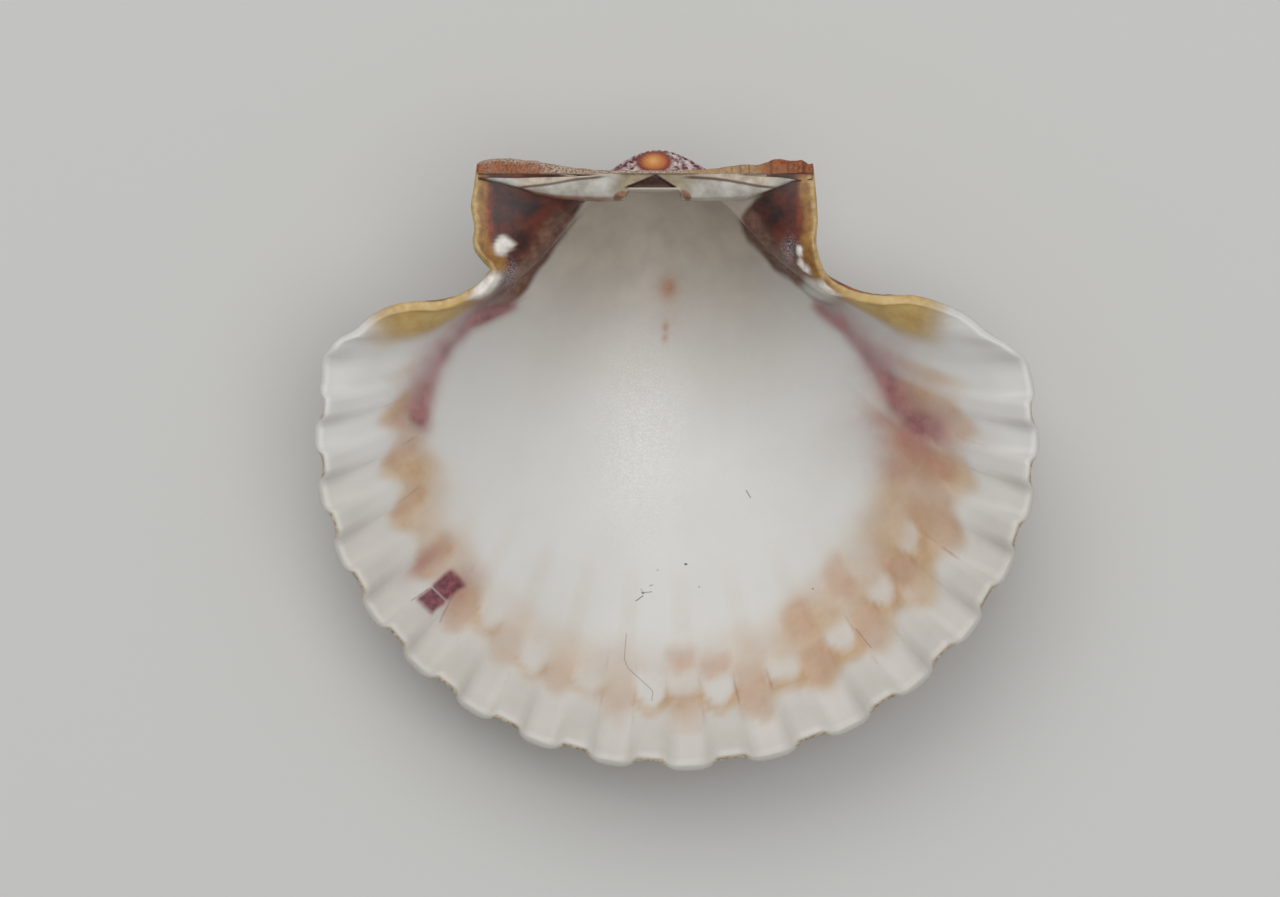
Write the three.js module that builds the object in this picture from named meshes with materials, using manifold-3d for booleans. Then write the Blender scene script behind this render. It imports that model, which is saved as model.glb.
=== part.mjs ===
// One valve of a scallop, lying on its convex outside with the hollow inside facing up.
// Millimetres. +X runs along the hinge, +Y towards the beak, +Z up.
// The shell is worked out in its own margin plane first: the beak at the origin, the margin in
// z = 0, the bowl below it. It is then tipped to the angle at which it comes to rest.
import * as THREE from 'three';
import Module from 'manifold-3d';
import { mergeVertices } from 'three/addons/utils/BufferGeometryUtils.js';

// Driving dimensions, in mm and degrees
const DISC_CENTRE = [2.0, -26.5];      // centre of the fan from the beak
const DISC_HALF_WIDTH = 35.9;
const DISC_HALF_HEIGHT = 32.6;
const COIL_RATE = 1.15;                // how fast the spiral of growth opens, per radian
const COIL_END = 2.95;                 // radians that the beak is rolled over
const SIDE_FULLNESS = 0.45;            // how much more the sides of the fan roll than its middle
const NOTCH_ANGLE = 61.5;              // of the notches below the ears, from the middle line
const WALL = 1.35;                     // wall in the middle of the fan
const EAR_WALL = 0.95;
const LIP = 0.95;                      // wall at the free margin
const RIB_RISE = 0.85;                 // half height of a rib at the margin
const HINGE_TOP = 1.3;                 // hinge plate, above the outside of the margin
const HINGE_DEPTH = 1.6;               // hinge plate in the hollow of the beak, below the same
const REST_TILT = 9;                   // hinge side up, where the valve comes to rest
const REST_ROLL = 0;
const WORN_FLAT = 0.2;                 // taken off the rib crests that it rests on

// Free margin in the margin plane, from each upper corner of the ears down to the fan
const LEFT_EAR = [[-17.8, 1.1], [-18.2, -1.3], [-18.5, -3.1], [-18.2, -5.2], [-18.4, -6.5],
  [-18.0, -7.9], [-16.7, -9.4]];
const LEFT_SHOULDER = [[-16.7, -9.4], [-18.0, -10.9], [-20.6, -12.1], [-23.4, -12.7],
  [-26.6, -13.4], [-29.2, -14.7], [-31.9, -15.9], [-33.2, -18.0]];
const RIGHT_SHOULDER = [[36.7, -18.4], [35.3, -16.6], [32.8, -15.2], [29.6, -13.6],
  [26.2, -12.4], [22.8, -11.9], [19.6, -11.4], [17.2, -10.2], [16.3, -8.4]];
const RIGHT_EAR = [[16.3, -8.4], [15.9, -6.6], [16.0, -4.8], [15.9, -2.9], [15.7, -1.1],
  [15.4, 1.1]];

// Hinge along x: the dorsal edge of its band, and the edge of its plate towards the bowl
const BAND_EDGE = [[-17.8, 1.2], [-15.9, 1.6], [-13.1, 1.5], [-10.8, 1.1], [-8.5, 0.6],
  [-4.9, 0.4], [3.5, 0.5], [5.9, 0.7], [8.3, 0.9], [10.7, 1.3], [12.3, 1.5], [14.7, 1.2],
  [15.5, 0.7]];
const PLATE_EDGE = [[-17.8, -0.5], [-14, -1.2], [-12, -2.0], [-9, -2.4], [-6, -2.5],
  [-3.2, -2.4], [-2.9, -1.6], [2.2, -1.6], [2.6, -2.4], [5, -2.5], [9, -2.6], [10.4, -1.8],
  [12, -1.2], [13.4, -0.7], [15.5, -0.5]];
const HINGE_STATIONS = [-17.8, -15.9, -14, -12, -10.4, -8.5, -6, -4.6, -3.2, -2.9, 0, 2.2, 2.6,
  3.6, 5, 7, 9, 10.4, 12, 13.4, 14.7, 15.5];

// Mesh density
const SAMPLES_PER_RIB = 4;
const SHOULDER_RIBS = 2;               // faint ribs that carry on over each shoulder
const EAR_COLUMNS = 7;
const GROWTH_ROWS = 19;

// Share of the whole sweep, from one ear to the other, that each stretch of margin takes
const EAR_SHARE = 0.09;
const SHOULDER_SHARE = 0.1;

// Ribs are numbered from the one at the ventral tip. Their polar angle about the centre of the
// fan is 88 degrees at rib 0, with a pitch that closes up towards both sides.
const TIP_ANGLE = 88;
const LEFT_PITCH = [14, -0.3];
const RIGHT_PITCH = [15.5, -0.42];
const LEFT_RIBS = 9;
const RIGHT_RIBS = 8;

const lerp = (a, b, k) => a + (b - a) * k;
const clamp01 = (k) => Math.min(1, Math.max(0, k));
const smooth = (a, b, x) => {
  const k = clamp01((x - a) / (b - a));
  return k * k * (3 - 2 * k);
};

function splineThrough(points) {
  const knots = points.map(([x, y]) => new THREE.Vector3(x, y, 0));
  return new THREE.CatmullRomCurve3(knots, false, 'catmullrom', 0.5);
}

const EDGES = {
  leftEar: splineThrough(LEFT_EAR),
  leftShoulder: splineThrough([...LEFT_SHOULDER, fanMargin(LEFT_RIBS)]),
  rightShoulder: splineThrough([fanMargin(-RIGHT_RIBS), ...RIGHT_SHOULDER]),
  rightEar: splineThrough(RIGHT_EAR),
};

// Point of the fan's elliptical margin at a rib number, which may be a fraction
function fanMargin(rib) {
  const [pitch, closing] = rib > 0 ? LEFT_PITCH : RIGHT_PITCH;
  const n = Math.abs(rib);
  const turn = pitch * n + closing * n * n;
  const angle = THREE.MathUtils.degToRad(TIP_ANGLE + Math.sign(rib) * turn);
  const a = DISC_HALF_WIDTH;
  const b = DISC_HALF_HEIGHT;
  const reach = (a * b) / Math.hypot(b * Math.cos(angle), a * Math.sin(angle));
  return [DISC_CENTRE[0] + reach * Math.cos(angle), DISC_CENTRE[1] - reach * Math.sin(angle)];
}

// Everything that a sweep position sets: 0 is the left ear's upper corner, 1 the right ear's.
// side runs from -2 at the left hinge line through -1 at the left notch, 0 at the ventral tip
// and 1 at the right notch to 2. rib is the rib number, and ribbed is how strong ribs are there.
function sweepAt(v) {
  const mirrored = v > 0.5;
  const w = mirrored ? 1 - v : v;
  const sign = mirrored ? 1 : -1;
  let point;
  let side;
  let rib;
  if (w < EAR_SHARE) {
    const k = w / EAR_SHARE;
    point = (mirrored ? EDGES.rightEar : EDGES.leftEar).getPoint(mirrored ? 1 - k : k);
    side = 2 - k;
    rib = null;
  } else if (w < EAR_SHARE + SHOULDER_SHARE) {
    const k = (w - EAR_SHARE) / SHOULDER_SHARE;
    point = (mirrored ? EDGES.rightShoulder : EDGES.leftShoulder).getPoint(mirrored ? 1 - k : k);
    side = lerp(1, fanSide(mirrored ? -RIGHT_RIBS : LEFT_RIBS), k);
    rib = -sign * (SHOULDER_RIBS * (1 - k) + (mirrored ? RIGHT_RIBS : LEFT_RIBS));
  } else {
    const edge = EAR_SHARE + SHOULDER_SHARE;
    const k = (v - edge) / (1 - 2 * edge);
    rib = lerp(LEFT_RIBS, -RIGHT_RIBS, k);
    const [x, y] = fanMargin(rib);
    return { x, y, side: Math.sign(x) * fanSide(rib), rib, ribbed: 1 };
  }
  const ribbed = rib === null ? 0 : smooth(0, 0.9, (w - EAR_SHARE) / SHOULDER_SHARE);
  return { x: point.x, y: point.y, side: sign * side, rib, ribbed };
}

// How far to the side a ray of the fan starts out, 0 along the middle and 1 along the fold
function fanSide(rib) {
  const [x, y] = fanMargin(rib);
  return THREE.MathUtils.radToDeg(Math.atan2(Math.abs(x), -y)) / 76;
}

// Angle from the middle line, in degrees, of the fold between fan and ear
const foldAngle = (radius) => 50 + 38 * Math.exp(-((radius / 11) ** 1.8));

// Smooth outer surface. t is 0 at the beak and 1 at the free margin. The shell grows as a spiral:
// a point's distance from the beak shrinks by about the same share for each radian that it is
// rolled about the hinge line, while the fan starts out narrower than it ends.
function outer(v, t) {
  const s = sweepAt(v);
  const reach = Math.hypot(s.x, s.y) * t;
  const marginAngle = THREE.MathUtils.radToDeg(Math.atan2(Math.abs(s.x), -s.y));
  const a = Math.abs(s.side);
  const fold = foldAngle(reach);
  const spread = marginAngle / NOTCH_ANGLE;
  const flank = 1 - 0.11 * smooth(0, 0.2, 1 - a);
  const young = a < 1 ? spread * fold * flank : lerp(fold, 93, a - 1);
  const angle = THREE.MathUtils.degToRad(lerp(young, marginAngle, t * t));
  const fuller = Math.min(spread, 1) ** 2 * (1 - smooth(1, 1.3, a)) * smooth(0.15, 0.9, t);
  const rolled = (-Math.log(Math.max(t, 1e-4)) / COIL_RATE) * (1 + SIDE_FULLNESS * fuller);
  const roll = Math.min(COIL_END, rolled);
  const flat = reach * Math.cos(angle);
  return new THREE.Vector3(
    Math.sign(s.x) * reach * Math.sin(angle),
    -flat * Math.cos(roll),
    -flat * Math.sin(roll),
  );
}

function outerNormal(v, t) {
  const e = 1e-3;
  const v0 = Math.max(0, v - e);
  const v1 = Math.min(1, v + e);
  const t0 = Math.max(2e-3, t - e);
  const t1 = Math.min(1, t + e);
  const across = outer(v1, t).sub(outer(v0, t));
  const along = outer(v, t1).sub(outer(v, t0));
  return along.cross(across).normalize();   // points up, into the bowl
}

// Rib profile across the rays: 1 on a crest, -1 in a groove, with flat tops
function ribWave(rib) {
  const c = Math.cos(2 * Math.PI * rib);
  return Math.tanh(1.7 * c + 0.35) / Math.tanh(2.05);
}

function wallAt(v, t) {
  const a = Math.abs(sweepAt(v).side);
  const middle = lerp(WALL, EAR_WALL, smooth(0.9, 1.1, a));
  return lerp(middle, LIP, smooth(0.75, 1, t)) * (1 - Math.exp(-t / 0.12));
}

function outerRibbed(v, t) {
  const s = sweepAt(v);
  const p = outer(v, t);
  if (s.rib === null || t < 0.02) return p;
  const rise = RIB_RISE * s.ribbed * ribWave(s.rib) * t;
  return p.addScaledVector(outerNormal(v, t), -rise);
}

function inner(v, t) {
  const s = sweepAt(v);
  const p = outer(v, t);
  if (t <= 0) return p;
  const fade = smooth(0.72, 0.96, t);
  const rise = s.rib === null ? 0 : RIB_RISE * s.ribbed * ribWave(s.rib) * t * fade;
  return p.addScaledVector(outerNormal(v, t), wallAt(v, t) - rise);
}

// Sweep positions of the mesh columns: even on the ears, and the same number to every rib
function columns() {
  const edge = EAR_SHARE + SHOULDER_SHARE;
  const shoulderSteps = SHOULDER_RIBS * SAMPLES_PER_RIB;
  const ribSteps = (LEFT_RIBS + RIGHT_RIBS) * SAMPLES_PER_RIB;
  const start = [];
  for (let i = 0; i < EAR_COLUMNS; i++) start.push((EAR_SHARE * i) / EAR_COLUMNS);
  for (let i = 0; i < shoulderSteps; i++) {
    start.push(EAR_SHARE + (SHOULDER_SHARE * i) / shoulderSteps);
  }
  const middle = [];
  for (let i = 0; i <= ribSteps; i++) middle.push(lerp(edge, 1 - edge, i / ribSteps));
  return [...start, ...middle, ...start.map((v) => 1 - v).reverse()];
}

// Growth rows: close together at the beak, where the shell rolls over
function rows() {
  const out = [];
  for (let j = 1; j <= GROWTH_ROWS; j++) out.push((j / GROWTH_ROWS) ** 1.5);
  return out;
}

function shellWall() {
  const vs = columns();
  const ts = rows();
  const points = [];
  const faces = [];
  const put = (p) => points.push(p) - 1;
  const beak = put(new THREE.Vector3(0, 0, 0));
  const outside = vs.map((v) => ts.map((t) => put(outerRibbed(v, t))));
  const inside = vs.map((v) => ts.map((t) => put(inner(v, t))));
  const quad = (a, b, c, d) => faces.push([a, b, c], [a, c, d]);
  const last = ts.length - 1;
  for (let i = 0; i < vs.length - 1; i++) {
    faces.push([beak, outside[i + 1][0], outside[i][0]], [beak, inside[i][0], inside[i + 1][0]]);
    for (let j = 0; j < last; j++) {
      quad(outside[i][j], outside[i + 1][j], outside[i + 1][j + 1], outside[i][j + 1]);
      quad(inside[i][j], inside[i][j + 1], inside[i + 1][j + 1], inside[i + 1][j]);
    }
    quad(outside[i][last], outside[i + 1][last], inside[i + 1][last], inside[i][last]);
  }
  const closeSide = (i, flip) => {
    const strip = (a, b, c, d) => (flip ? quad(a, d, c, b) : quad(a, b, c, d));
    faces.push(flip ? [beak, outside[i][0], inside[i][0]] : [beak, inside[i][0], outside[i][0]]);
    for (let j = 0; j < last; j++) {
      strip(outside[i][j], inside[i][j], inside[i][j + 1], outside[i][j + 1]);
    }
  };
  closeSide(0, true);
  closeSide(vs.length - 1, false);
  return { points, faces };
}

function geometryOf({ points, faces }) {
  const geometry = new THREE.BufferGeometry();
  geometry.setAttribute('position', new THREE.Float32BufferAttribute(
    faces.flat().flatMap((i) => points[i].toArray()), 3));
  return mergeVertices(geometry, 1e-5);
}

const wasm = await Module();
wasm.setup();

function solidOf(geometry) {
  return new wasm.Manifold(new wasm.Mesh({
    numProp: 3,
    vertProperties: new Float32Array(geometry.attributes.position.array),
    triVerts: new Uint32Array(geometry.index.array),
  }));
}

// Straight-line table lookup: knots are [x, value] pairs in order of x
function tableAt(knots, x) {
  const i = Math.max(1, knots.findIndex(([knot]) => knot >= x));
  const [x0, y0] = knots[i - 1];
  const [x1, y1] = knots[i];
  return lerp(y0, y1, clamp01((x - x0) / (x1 - x0)));
}

// Section through the hinge at x, as [y, z] pairs: the dorsal band, the slit below it, and the
// two ridges of the hinge plate with a shallow groove between them
function hingeSection(x) {
  const back = tableAt(BAND_EDGE, x);
  const front = tableAt(PLATE_EDGE, x);
  const foot = lerp(-HINGE_DEPTH, 0.35, smooth(4, 9, Math.abs(x)));
  const across = (k) => lerp(-0.2, front, k);
  return [
    [back, 0.05], [back - 0.05, HINGE_TOP - 0.15], [0.2, HINGE_TOP], [0, HINGE_TOP - 0.35],
    [-0.2, HINGE_TOP - 0.1], [across(0.38), HINGE_TOP - 0.15], [across(0.45), HINGE_TOP - 0.3],
    [across(0.55), HINGE_TOP], [across(0.93), HINGE_TOP], [across(1.12), 0.5],
    [across(1.05), foot], [0.1, foot],
  ];
}

function hingePlate() {
  const points = [];
  const faces = [];
  const rings = HINGE_STATIONS.map((x) => hingeSection(x).map(
    ([y, z]) => points.push(new THREE.Vector3(x, y, z)) - 1));
  const size = rings[0].length;
  for (let i = 0; i < rings.length - 1; i++) {
    for (let k = 0; k < size; k++) {
      const [a, b] = [rings[i][k], rings[i][(k + 1) % size]];
      const [c, d] = [rings[i + 1][(k + 1) % size], rings[i + 1][k]];
      faces.push([a, b, c], [a, c, d]);
    }
  }
  const outline = (x) => hingeSection(x).map(([y, z]) => new THREE.Vector2(y, z));
  const cap = (ring, x, flip) => {
    for (const [a, b, c] of THREE.ShapeUtils.triangulateShape(outline(x), [])) {
      faces.push(flip ? [ring[c], ring[b], ring[a]] : [ring[a], ring[b], ring[c]]);
    }
  };
  cap(rings[0], HINGE_STATIONS[0], true);
  cap(rings.at(-1), HINGE_STATIONS.at(-1), false);
  return { points, faces };
}

// Wedge that is cut out of the hinge plate for the ligament, shallow at the beak
function ligamentPit() {
  const corners = [[0, 0.15, 0.9], [-2.9, -1.2, 0.25], [2.1, -1.2, 0.25]];
  const above = corners.map(([x, y]) => [x, y, HINGE_TOP + 1]);
  return wasm.Manifold.hull([...corners, ...above]);
}

// Tip the valve to its angle of rest, stand it on z = 0 and wear the crests below it flat
function atRest(solid) {
  const tipped = solid.rotate([REST_TILT, REST_ROLL, 0]);
  const { min, max } = tipped.boundingBox();
  const middle = [-(min[0] + max[0]) / 2, -(min[1] + max[1]) / 2];
  return tipped.translate([...middle, -min[2] - WORN_FLAT]).trimByPlane([0, 0, 1], 0);
}

const wall = solidOf(geometryOf(shellWall()));
const hinge = solidOf(geometryOf(hingePlate())).subtract(ligamentPit());

function meshOf(solid, name, material) {
  const { vertProperties, triVerts } = solid.getMesh();
  const geometry = new THREE.BufferGeometry();
  geometry.setAttribute('position', new THREE.BufferAttribute(vertProperties, 3));
  geometry.setIndex(new THREE.BufferAttribute(triVerts, 1));
  geometry.computeVertexNormals();
  const mesh = new THREE.Mesh(geometry, material);
  mesh.name = name;
  return mesh;
}

const nacre = new THREE.MeshStandardMaterial({ color: 0xdedbd4, roughness: 0.35, metalness: 0 });
const group = new THREE.Group();
group.add(meshOf(atRest(wall.add(hinge)), 'valve', nacre));
export default group;
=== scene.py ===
"""One valve of a scallop, lying hollow side up: its render model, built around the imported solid.

The shell is worked out in its own margin plane, in millimetres: the beak is the origin, +X runs
along the hinge, the fan opens towards -Y, and the bowl lies below Z = 0. It is then tipped to its
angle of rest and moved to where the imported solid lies, in metres.
"""

from __future__ import annotations

import logging
import math
from dataclasses import dataclass, field
from enum import Enum

import bpy
import numpy as np
from mathutils import Matrix, Vector


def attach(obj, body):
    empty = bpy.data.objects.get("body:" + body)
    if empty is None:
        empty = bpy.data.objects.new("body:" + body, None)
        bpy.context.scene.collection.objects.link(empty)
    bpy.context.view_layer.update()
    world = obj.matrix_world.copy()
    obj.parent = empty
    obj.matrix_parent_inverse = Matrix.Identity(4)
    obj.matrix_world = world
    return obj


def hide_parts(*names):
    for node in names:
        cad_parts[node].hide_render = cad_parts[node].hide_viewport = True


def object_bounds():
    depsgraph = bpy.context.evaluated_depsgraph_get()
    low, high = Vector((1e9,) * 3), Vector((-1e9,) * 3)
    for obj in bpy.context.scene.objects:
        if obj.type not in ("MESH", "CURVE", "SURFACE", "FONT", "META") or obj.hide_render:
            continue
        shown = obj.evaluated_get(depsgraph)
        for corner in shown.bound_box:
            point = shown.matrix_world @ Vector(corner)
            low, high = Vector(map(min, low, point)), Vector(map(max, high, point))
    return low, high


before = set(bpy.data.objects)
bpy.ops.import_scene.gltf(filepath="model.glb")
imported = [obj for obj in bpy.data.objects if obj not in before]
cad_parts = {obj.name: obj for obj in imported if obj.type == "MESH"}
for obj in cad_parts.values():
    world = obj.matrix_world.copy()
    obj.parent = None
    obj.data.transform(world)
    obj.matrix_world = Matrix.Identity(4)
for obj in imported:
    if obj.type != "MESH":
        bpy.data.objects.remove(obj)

log = logging.getLogger("scallop")

CAD_LOW, CAD_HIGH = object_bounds()
MM = 0.001

Array = np.ndarray
Knots = tuple[tuple[float, float], ...]


def linear(hex_colour: str) -> tuple[float, float, float, float]:
    """Turns an sRGB hex value such as "#c8a070" to a linear colour with alpha 1."""
    shares = [int(hex_colour[i : i + 2], 16) / 255 for i in (1, 3, 5)]
    lights = [s / 12.92 if s <= 0.04045 else ((s + 0.055) / 1.055) ** 2.4 for s in shares]
    return (*lights, 1.0)


def mix(a: Array | float, b: Array | float, k: Array | float) -> Array:
    """Straight-line blend from a at k = 0 to b at k = 1."""
    return a + (b - a) * k


def smooth(low: float, high: float, x: Array | float) -> Array:
    """Cubic step: 0 where x is at low, 1 where it is at high, flat at both ends."""
    k = np.clip((np.asarray(x, float) - low) / (high - low), 0, 1)
    return k * k * (3 - 2 * k)


def table(knots: Knots, x: Array) -> Array:
    """Looks x up in (x, value) knots, with straight lines between them."""
    places, values = np.array(knots, float).T
    return np.interp(x, places, values)


def curve_through(knots: Array, k: Array) -> Array:
    """Catmull-Rom curve through knots.

    Args:
        knots: points as an (n, 2) array.
        k: places along the curve, from 0 to 1.

    Returns:
        Points as a (len(k), 2) array. Each stretch is the cubic that leaves a knot along the line
        between its two neighbours.
    """
    spans = len(knots) - 1
    along = np.clip(k, 0, 1) * spans
    i = np.minimum(along.astype(int), spans - 1)
    u = (along - i)[:, None]
    ends = np.vstack([2 * knots[0] - knots[1], knots, 2 * knots[-1] - knots[-2]])
    a, b, c, d = (ends[i + n] for n in range(4))
    return 0.5 * (2 * b + (c - a) * u + (2 * a - 5 * b + 4 * c - d) * u**2 + (3 * (b - c) + d - a) * u**3)


def cloud(x: Array, y: Array, grain: float, seed: int) -> Array:
    """Smooth value noise from 0 to 1 on the plane: random numbers on a square lattice of the given
    grain, in mm, joined by cubic steps."""
    size = 64
    lattice = np.random.default_rng(seed).random((size, size))
    u, v = x / grain + 512.3, y / grain + 512.7
    i, j = np.floor(u).astype(int), np.floor(v).astype(int)
    p, q = smooth(0, 1, u - i), smooth(0, 1, v - j)
    low = mix(lattice[i % size, j % size], lattice[(i + 1) % size, j % size], p)
    high = mix(lattice[i % size, (j + 1) % size], lattice[(i + 1) % size, (j + 1) % size], p)
    return mix(low, high, q)


def drift(x: Array, y: Array, grain: float, seed: int) -> Array:
    """Two octaves of cloud, from -1 to 1."""
    return (1.4 * cloud(x, y, grain, seed) + 0.6 * cloud(x, y, grain / 2.3, seed + 1)) - 1


def spot(
    x: Array, y: Array, centre: tuple[float, float], radii: tuple[float, float], turn: float = 0
) -> Array:
    """Round or oval patch: 1 at the centre, about a third at one radius, 0 far away.

    Args:
        x, y: places in mm.
        centre: the middle of the patch.
        radii: its radii along its own two axes.
        turn: how far its first axis is turned from +X, in degrees.

    Returns:
        The strength of the patch at each place, from 0 to 1.
    """
    c, s = math.cos(math.radians(turn)), math.sin(math.radians(turn))
    dx, dy = x - centre[0], y - centre[1]
    return np.exp(-(((dx * c + dy * s) / radii[0]) ** 2) - ((dy * c - dx * s) / radii[1]) ** 2)


def off_line(x: Array, y: Array, knots: Knots) -> tuple[Array, Array]:
    """Distance to a bent line through knots, in mm.

    Args:
        x, y: places in mm.
        knots: the line's points, in order.

    Returns:
        The signed distance, positive on the left of the line's direction, and the share of the
        line's length at the nearest point.
    """
    points = np.array(knots, float)
    steps = np.linalg.norm(np.diff(points, axis=0), axis=1)
    starts = np.concatenate([[0], np.cumsum(steps)])
    best = np.full(x.shape, np.inf)
    share = np.zeros(x.shape)
    sign = np.ones(x.shape)
    for (px, py), (qx, qy), step, start in zip(points[:-1], points[1:], steps, starts[:-1]):
        ux, uy = (qx - px) / step, (qy - py) / step
        along = np.clip((x - px) * ux + (y - py) * uy, 0, step)
        gap = np.hypot(x - px - along * ux, y - py - along * uy)
        nearer = gap < best
        best = np.where(nearer, gap, best)
        share = np.where(nearer, (start + along) / starts[-1], share)
        sign = np.where(nearer, np.where(ux * (y - py) - uy * (x - px) >= 0, 1, -1), sign)
    return best * sign, share


@dataclass(frozen=True)
class Sweep:
    """The free margin at every column of the mesh."""

    x: Array
    y: Array
    side: Array
    rib: Array
    ribbed: Array


@dataclass(frozen=True)
class Growth:
    """The rule that the whole valve grows by.

    The margin is an ellipse with ribs, two shoulders and two ears. Every earlier margin is a
    smaller copy, rolled about the hinge line by an angle that goes with the logarithm of its size.
    """

    disc_centre: tuple[float, float] = (2.0, -26.5)
    disc_half_width: float = 35.9
    disc_half_height: float = 32.6
    coil_rate: float = 1.15
    coil_end: float = 2.95
    side_fullness: float = 0.45
    notch_angle: float = 61.5
    wall: float = 1.35
    ear_wall: float = 0.95
    lip: float = 0.95
    rib_rise: float = 0.85
    left_ear: Knots = ((-17.8, 1.1), (-18.2, -1.3), (-18.5, -3.1), (-18.2, -5.2), (-18.4, -6.5),
                       (-18.0, -7.9), (-16.7, -9.4))
    left_shoulder: Knots = ((-16.7, -9.4), (-18.0, -10.9), (-20.6, -12.1), (-23.4, -12.7),
                            (-26.6, -13.4), (-29.2, -14.7), (-31.9, -15.9), (-33.2, -18.0))
    right_shoulder: Knots = ((36.7, -18.4), (35.3, -16.6), (32.8, -15.2), (29.6, -13.6),
                             (26.2, -12.4), (22.8, -11.9), (19.6, -11.4), (17.2, -10.2), (16.3, -8.4))
    right_ear: Knots = ((16.3, -8.4), (15.9, -6.6), (16.0, -4.8), (15.9, -2.9), (15.7, -1.1), (15.4, 1.1))
    ear_share: float = 0.09
    shoulder_share: float = 0.1
    tip_angle: float = 88
    left_pitch: tuple[float, float] = (14, -0.3)
    right_pitch: tuple[float, float] = (15.5, -0.42)
    left_ribs: int = 9
    right_ribs: int = 8
    shoulder_ribs: int = 2

    def fan_margin(self, rib: Array) -> tuple[Array, Array]:
        """Point of the fan's elliptical margin at a rib number, which may be a fraction."""
        left = rib > 0
        pitch = np.where(left, self.left_pitch[0], self.right_pitch[0])
        closing = np.where(left, self.left_pitch[1], self.right_pitch[1])
        n = np.abs(rib)
        angle = np.radians(self.tip_angle + np.sign(rib) * (pitch * n + closing * n * n))
        a, b = self.disc_half_width, self.disc_half_height
        reach = a * b / np.hypot(b * np.cos(angle), a * np.sin(angle))
        return self.disc_centre[0] + reach * np.cos(angle), self.disc_centre[1] - reach * np.sin(angle)

    def fan_side(self, rib: Array) -> Array:
        """How far to the side a ray of the fan lies, as a share of the way to the notch."""
        x, y = self.fan_margin(rib)
        return np.degrees(np.arctan2(np.abs(x), -y)) / 76

    def sweep(self, v: Array) -> Sweep:
        """The margin at sweep positions v: 0 is the left ear's upper corner, 1 the right ear's."""
        mirrored = v > 0.5
        w = np.where(mirrored, 1 - v, v)
        sign = np.where(mirrored, 1.0, -1.0)
        edge = self.ear_share + self.shoulder_share
        rib = mix(self.left_ribs, -self.right_ribs, (v - edge) / (1 - 2 * edge))
        x, y = self.fan_margin(rib)
        side = self.fan_side(rib)
        ribbed = np.ones_like(v)
        ends = (
            (False, self.left_ear, self.left_shoulder, self.left_ribs),
            (True, self.right_ear, self.right_shoulder, -self.right_ribs),
        )
        for right, ear, shoulder, last in ends:
            corner = np.array(self.fan_margin(np.array(float(last))))
            line = [corner, *shoulder] if right else [*shoulder, corner]
            on_ear = (w < self.ear_share) & (mirrored == right)
            k = w[on_ear] / self.ear_share
            point = curve_through(np.array(ear), 1 - k if right else k)
            x[on_ear], y[on_ear] = point[:, 0], point[:, 1]
            side[on_ear] = 2 - k
            ribbed[on_ear] = 0
            beyond = self.shoulder_ribs * np.sign(last)
            rib[on_ear] = last + beyond * (2 - k)
            on_shoulder = (w >= self.ear_share) & (w < edge) & (mirrored == right)
            k = (w[on_shoulder] - self.ear_share) / self.shoulder_share
            point = curve_through(np.array(line), 1 - k if right else k)
            x[on_shoulder], y[on_shoulder] = point[:, 0], point[:, 1]
            side[on_shoulder] = mix(1, float(self.fan_side(np.array(float(last)))), k)
            ribbed[on_shoulder] = smooth(0, 0.9, k)
            rib[on_shoulder] = last + beyond * (1 - k)
        return Sweep(x, y, sign * side, rib, ribbed)

    def outer(self, sweep: Sweep, t: Array) -> Array:
        """Smooth outer surface as an array [column, row, xyz].

        A point starts at distance reach = t * R from the beak. Its angle from the middle line goes
        from that of the young shell, which is narrower, to that of the margin. It is then rolled
        about the hinge line by -ln(t) / coil_rate, a little more at the sides of the fan.
        """
        reach = np.hypot(sweep.x, sweep.y)[:, None] * t
        side = np.abs(sweep.side)[:, None]
        margin = np.degrees(np.arctan2(np.abs(sweep.x), -sweep.y))[:, None]
        fold = 50 + 38 * np.exp(-((reach / 11) ** 1.8))
        spread = margin / self.notch_angle
        young_fan = spread * fold * (1 - 0.11 * smooth(0, 0.2, 1 - side))
        young = np.where(side < 1, young_fan, mix(fold, 93, side - 1))
        angle = np.radians(mix(young, margin, t * t))
        fuller = np.minimum(spread, 1) ** 2 * (1 - smooth(1, 1.3, side)) * smooth(0.15, 0.9, t)
        roll = np.minimum(self.coil_end, -np.log(t) / self.coil_rate * (1 + self.side_fullness * fuller))
        flat = reach * np.cos(angle)
        across = np.sign(sweep.x)[:, None] * reach * np.sin(angle)
        return np.stack([across, -flat * np.cos(roll), -flat * np.sin(roll)], axis=-1)


def upward_normals(points: Array) -> Array:
    """Unit normals of a grid of points, into the bowl: the cross product of its two directions."""
    across = np.gradient(points, axis=0)
    along = np.gradient(points, axis=1)
    normal = np.cross(along, across)
    return normal / np.maximum(np.linalg.norm(normal, axis=-1, keepdims=True), 1e-12)


@dataclass
class Surface:
    """A closed mesh under construction: its points, its faces and the values that its points carry."""

    points: Array
    quads: Array
    triangles: Array
    values: dict[str, Array]
    finish: Array

    def to_object(self, name: str) -> bpy.types.Object:
        """Puts the arrays into a new Blender object, without its place."""
        mesh = bpy.data.meshes.new(name)
        mesh.from_pydata(self.points.tolist(), [], self.quads.tolist() + self.triangles.tolist())
        for key, value in self.values.items():
            attribute = mesh.attributes.new(key, "FLOAT", "POINT")
            attribute.data.foreach_set("value", value.astype(np.float32))
        mesh.attributes.new("finish", "INT", "FACE").data.foreach_set("value", self.finish.astype(np.int32))
        made = bpy.data.objects.new(name, mesh)
        bpy.context.scene.collection.objects.link(made)
        return made


class Finish(Enum):
    """Which finish a face takes. The values are the piece's material slots."""

    INSIDE = 0
    OUTSIDE = 1


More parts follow.
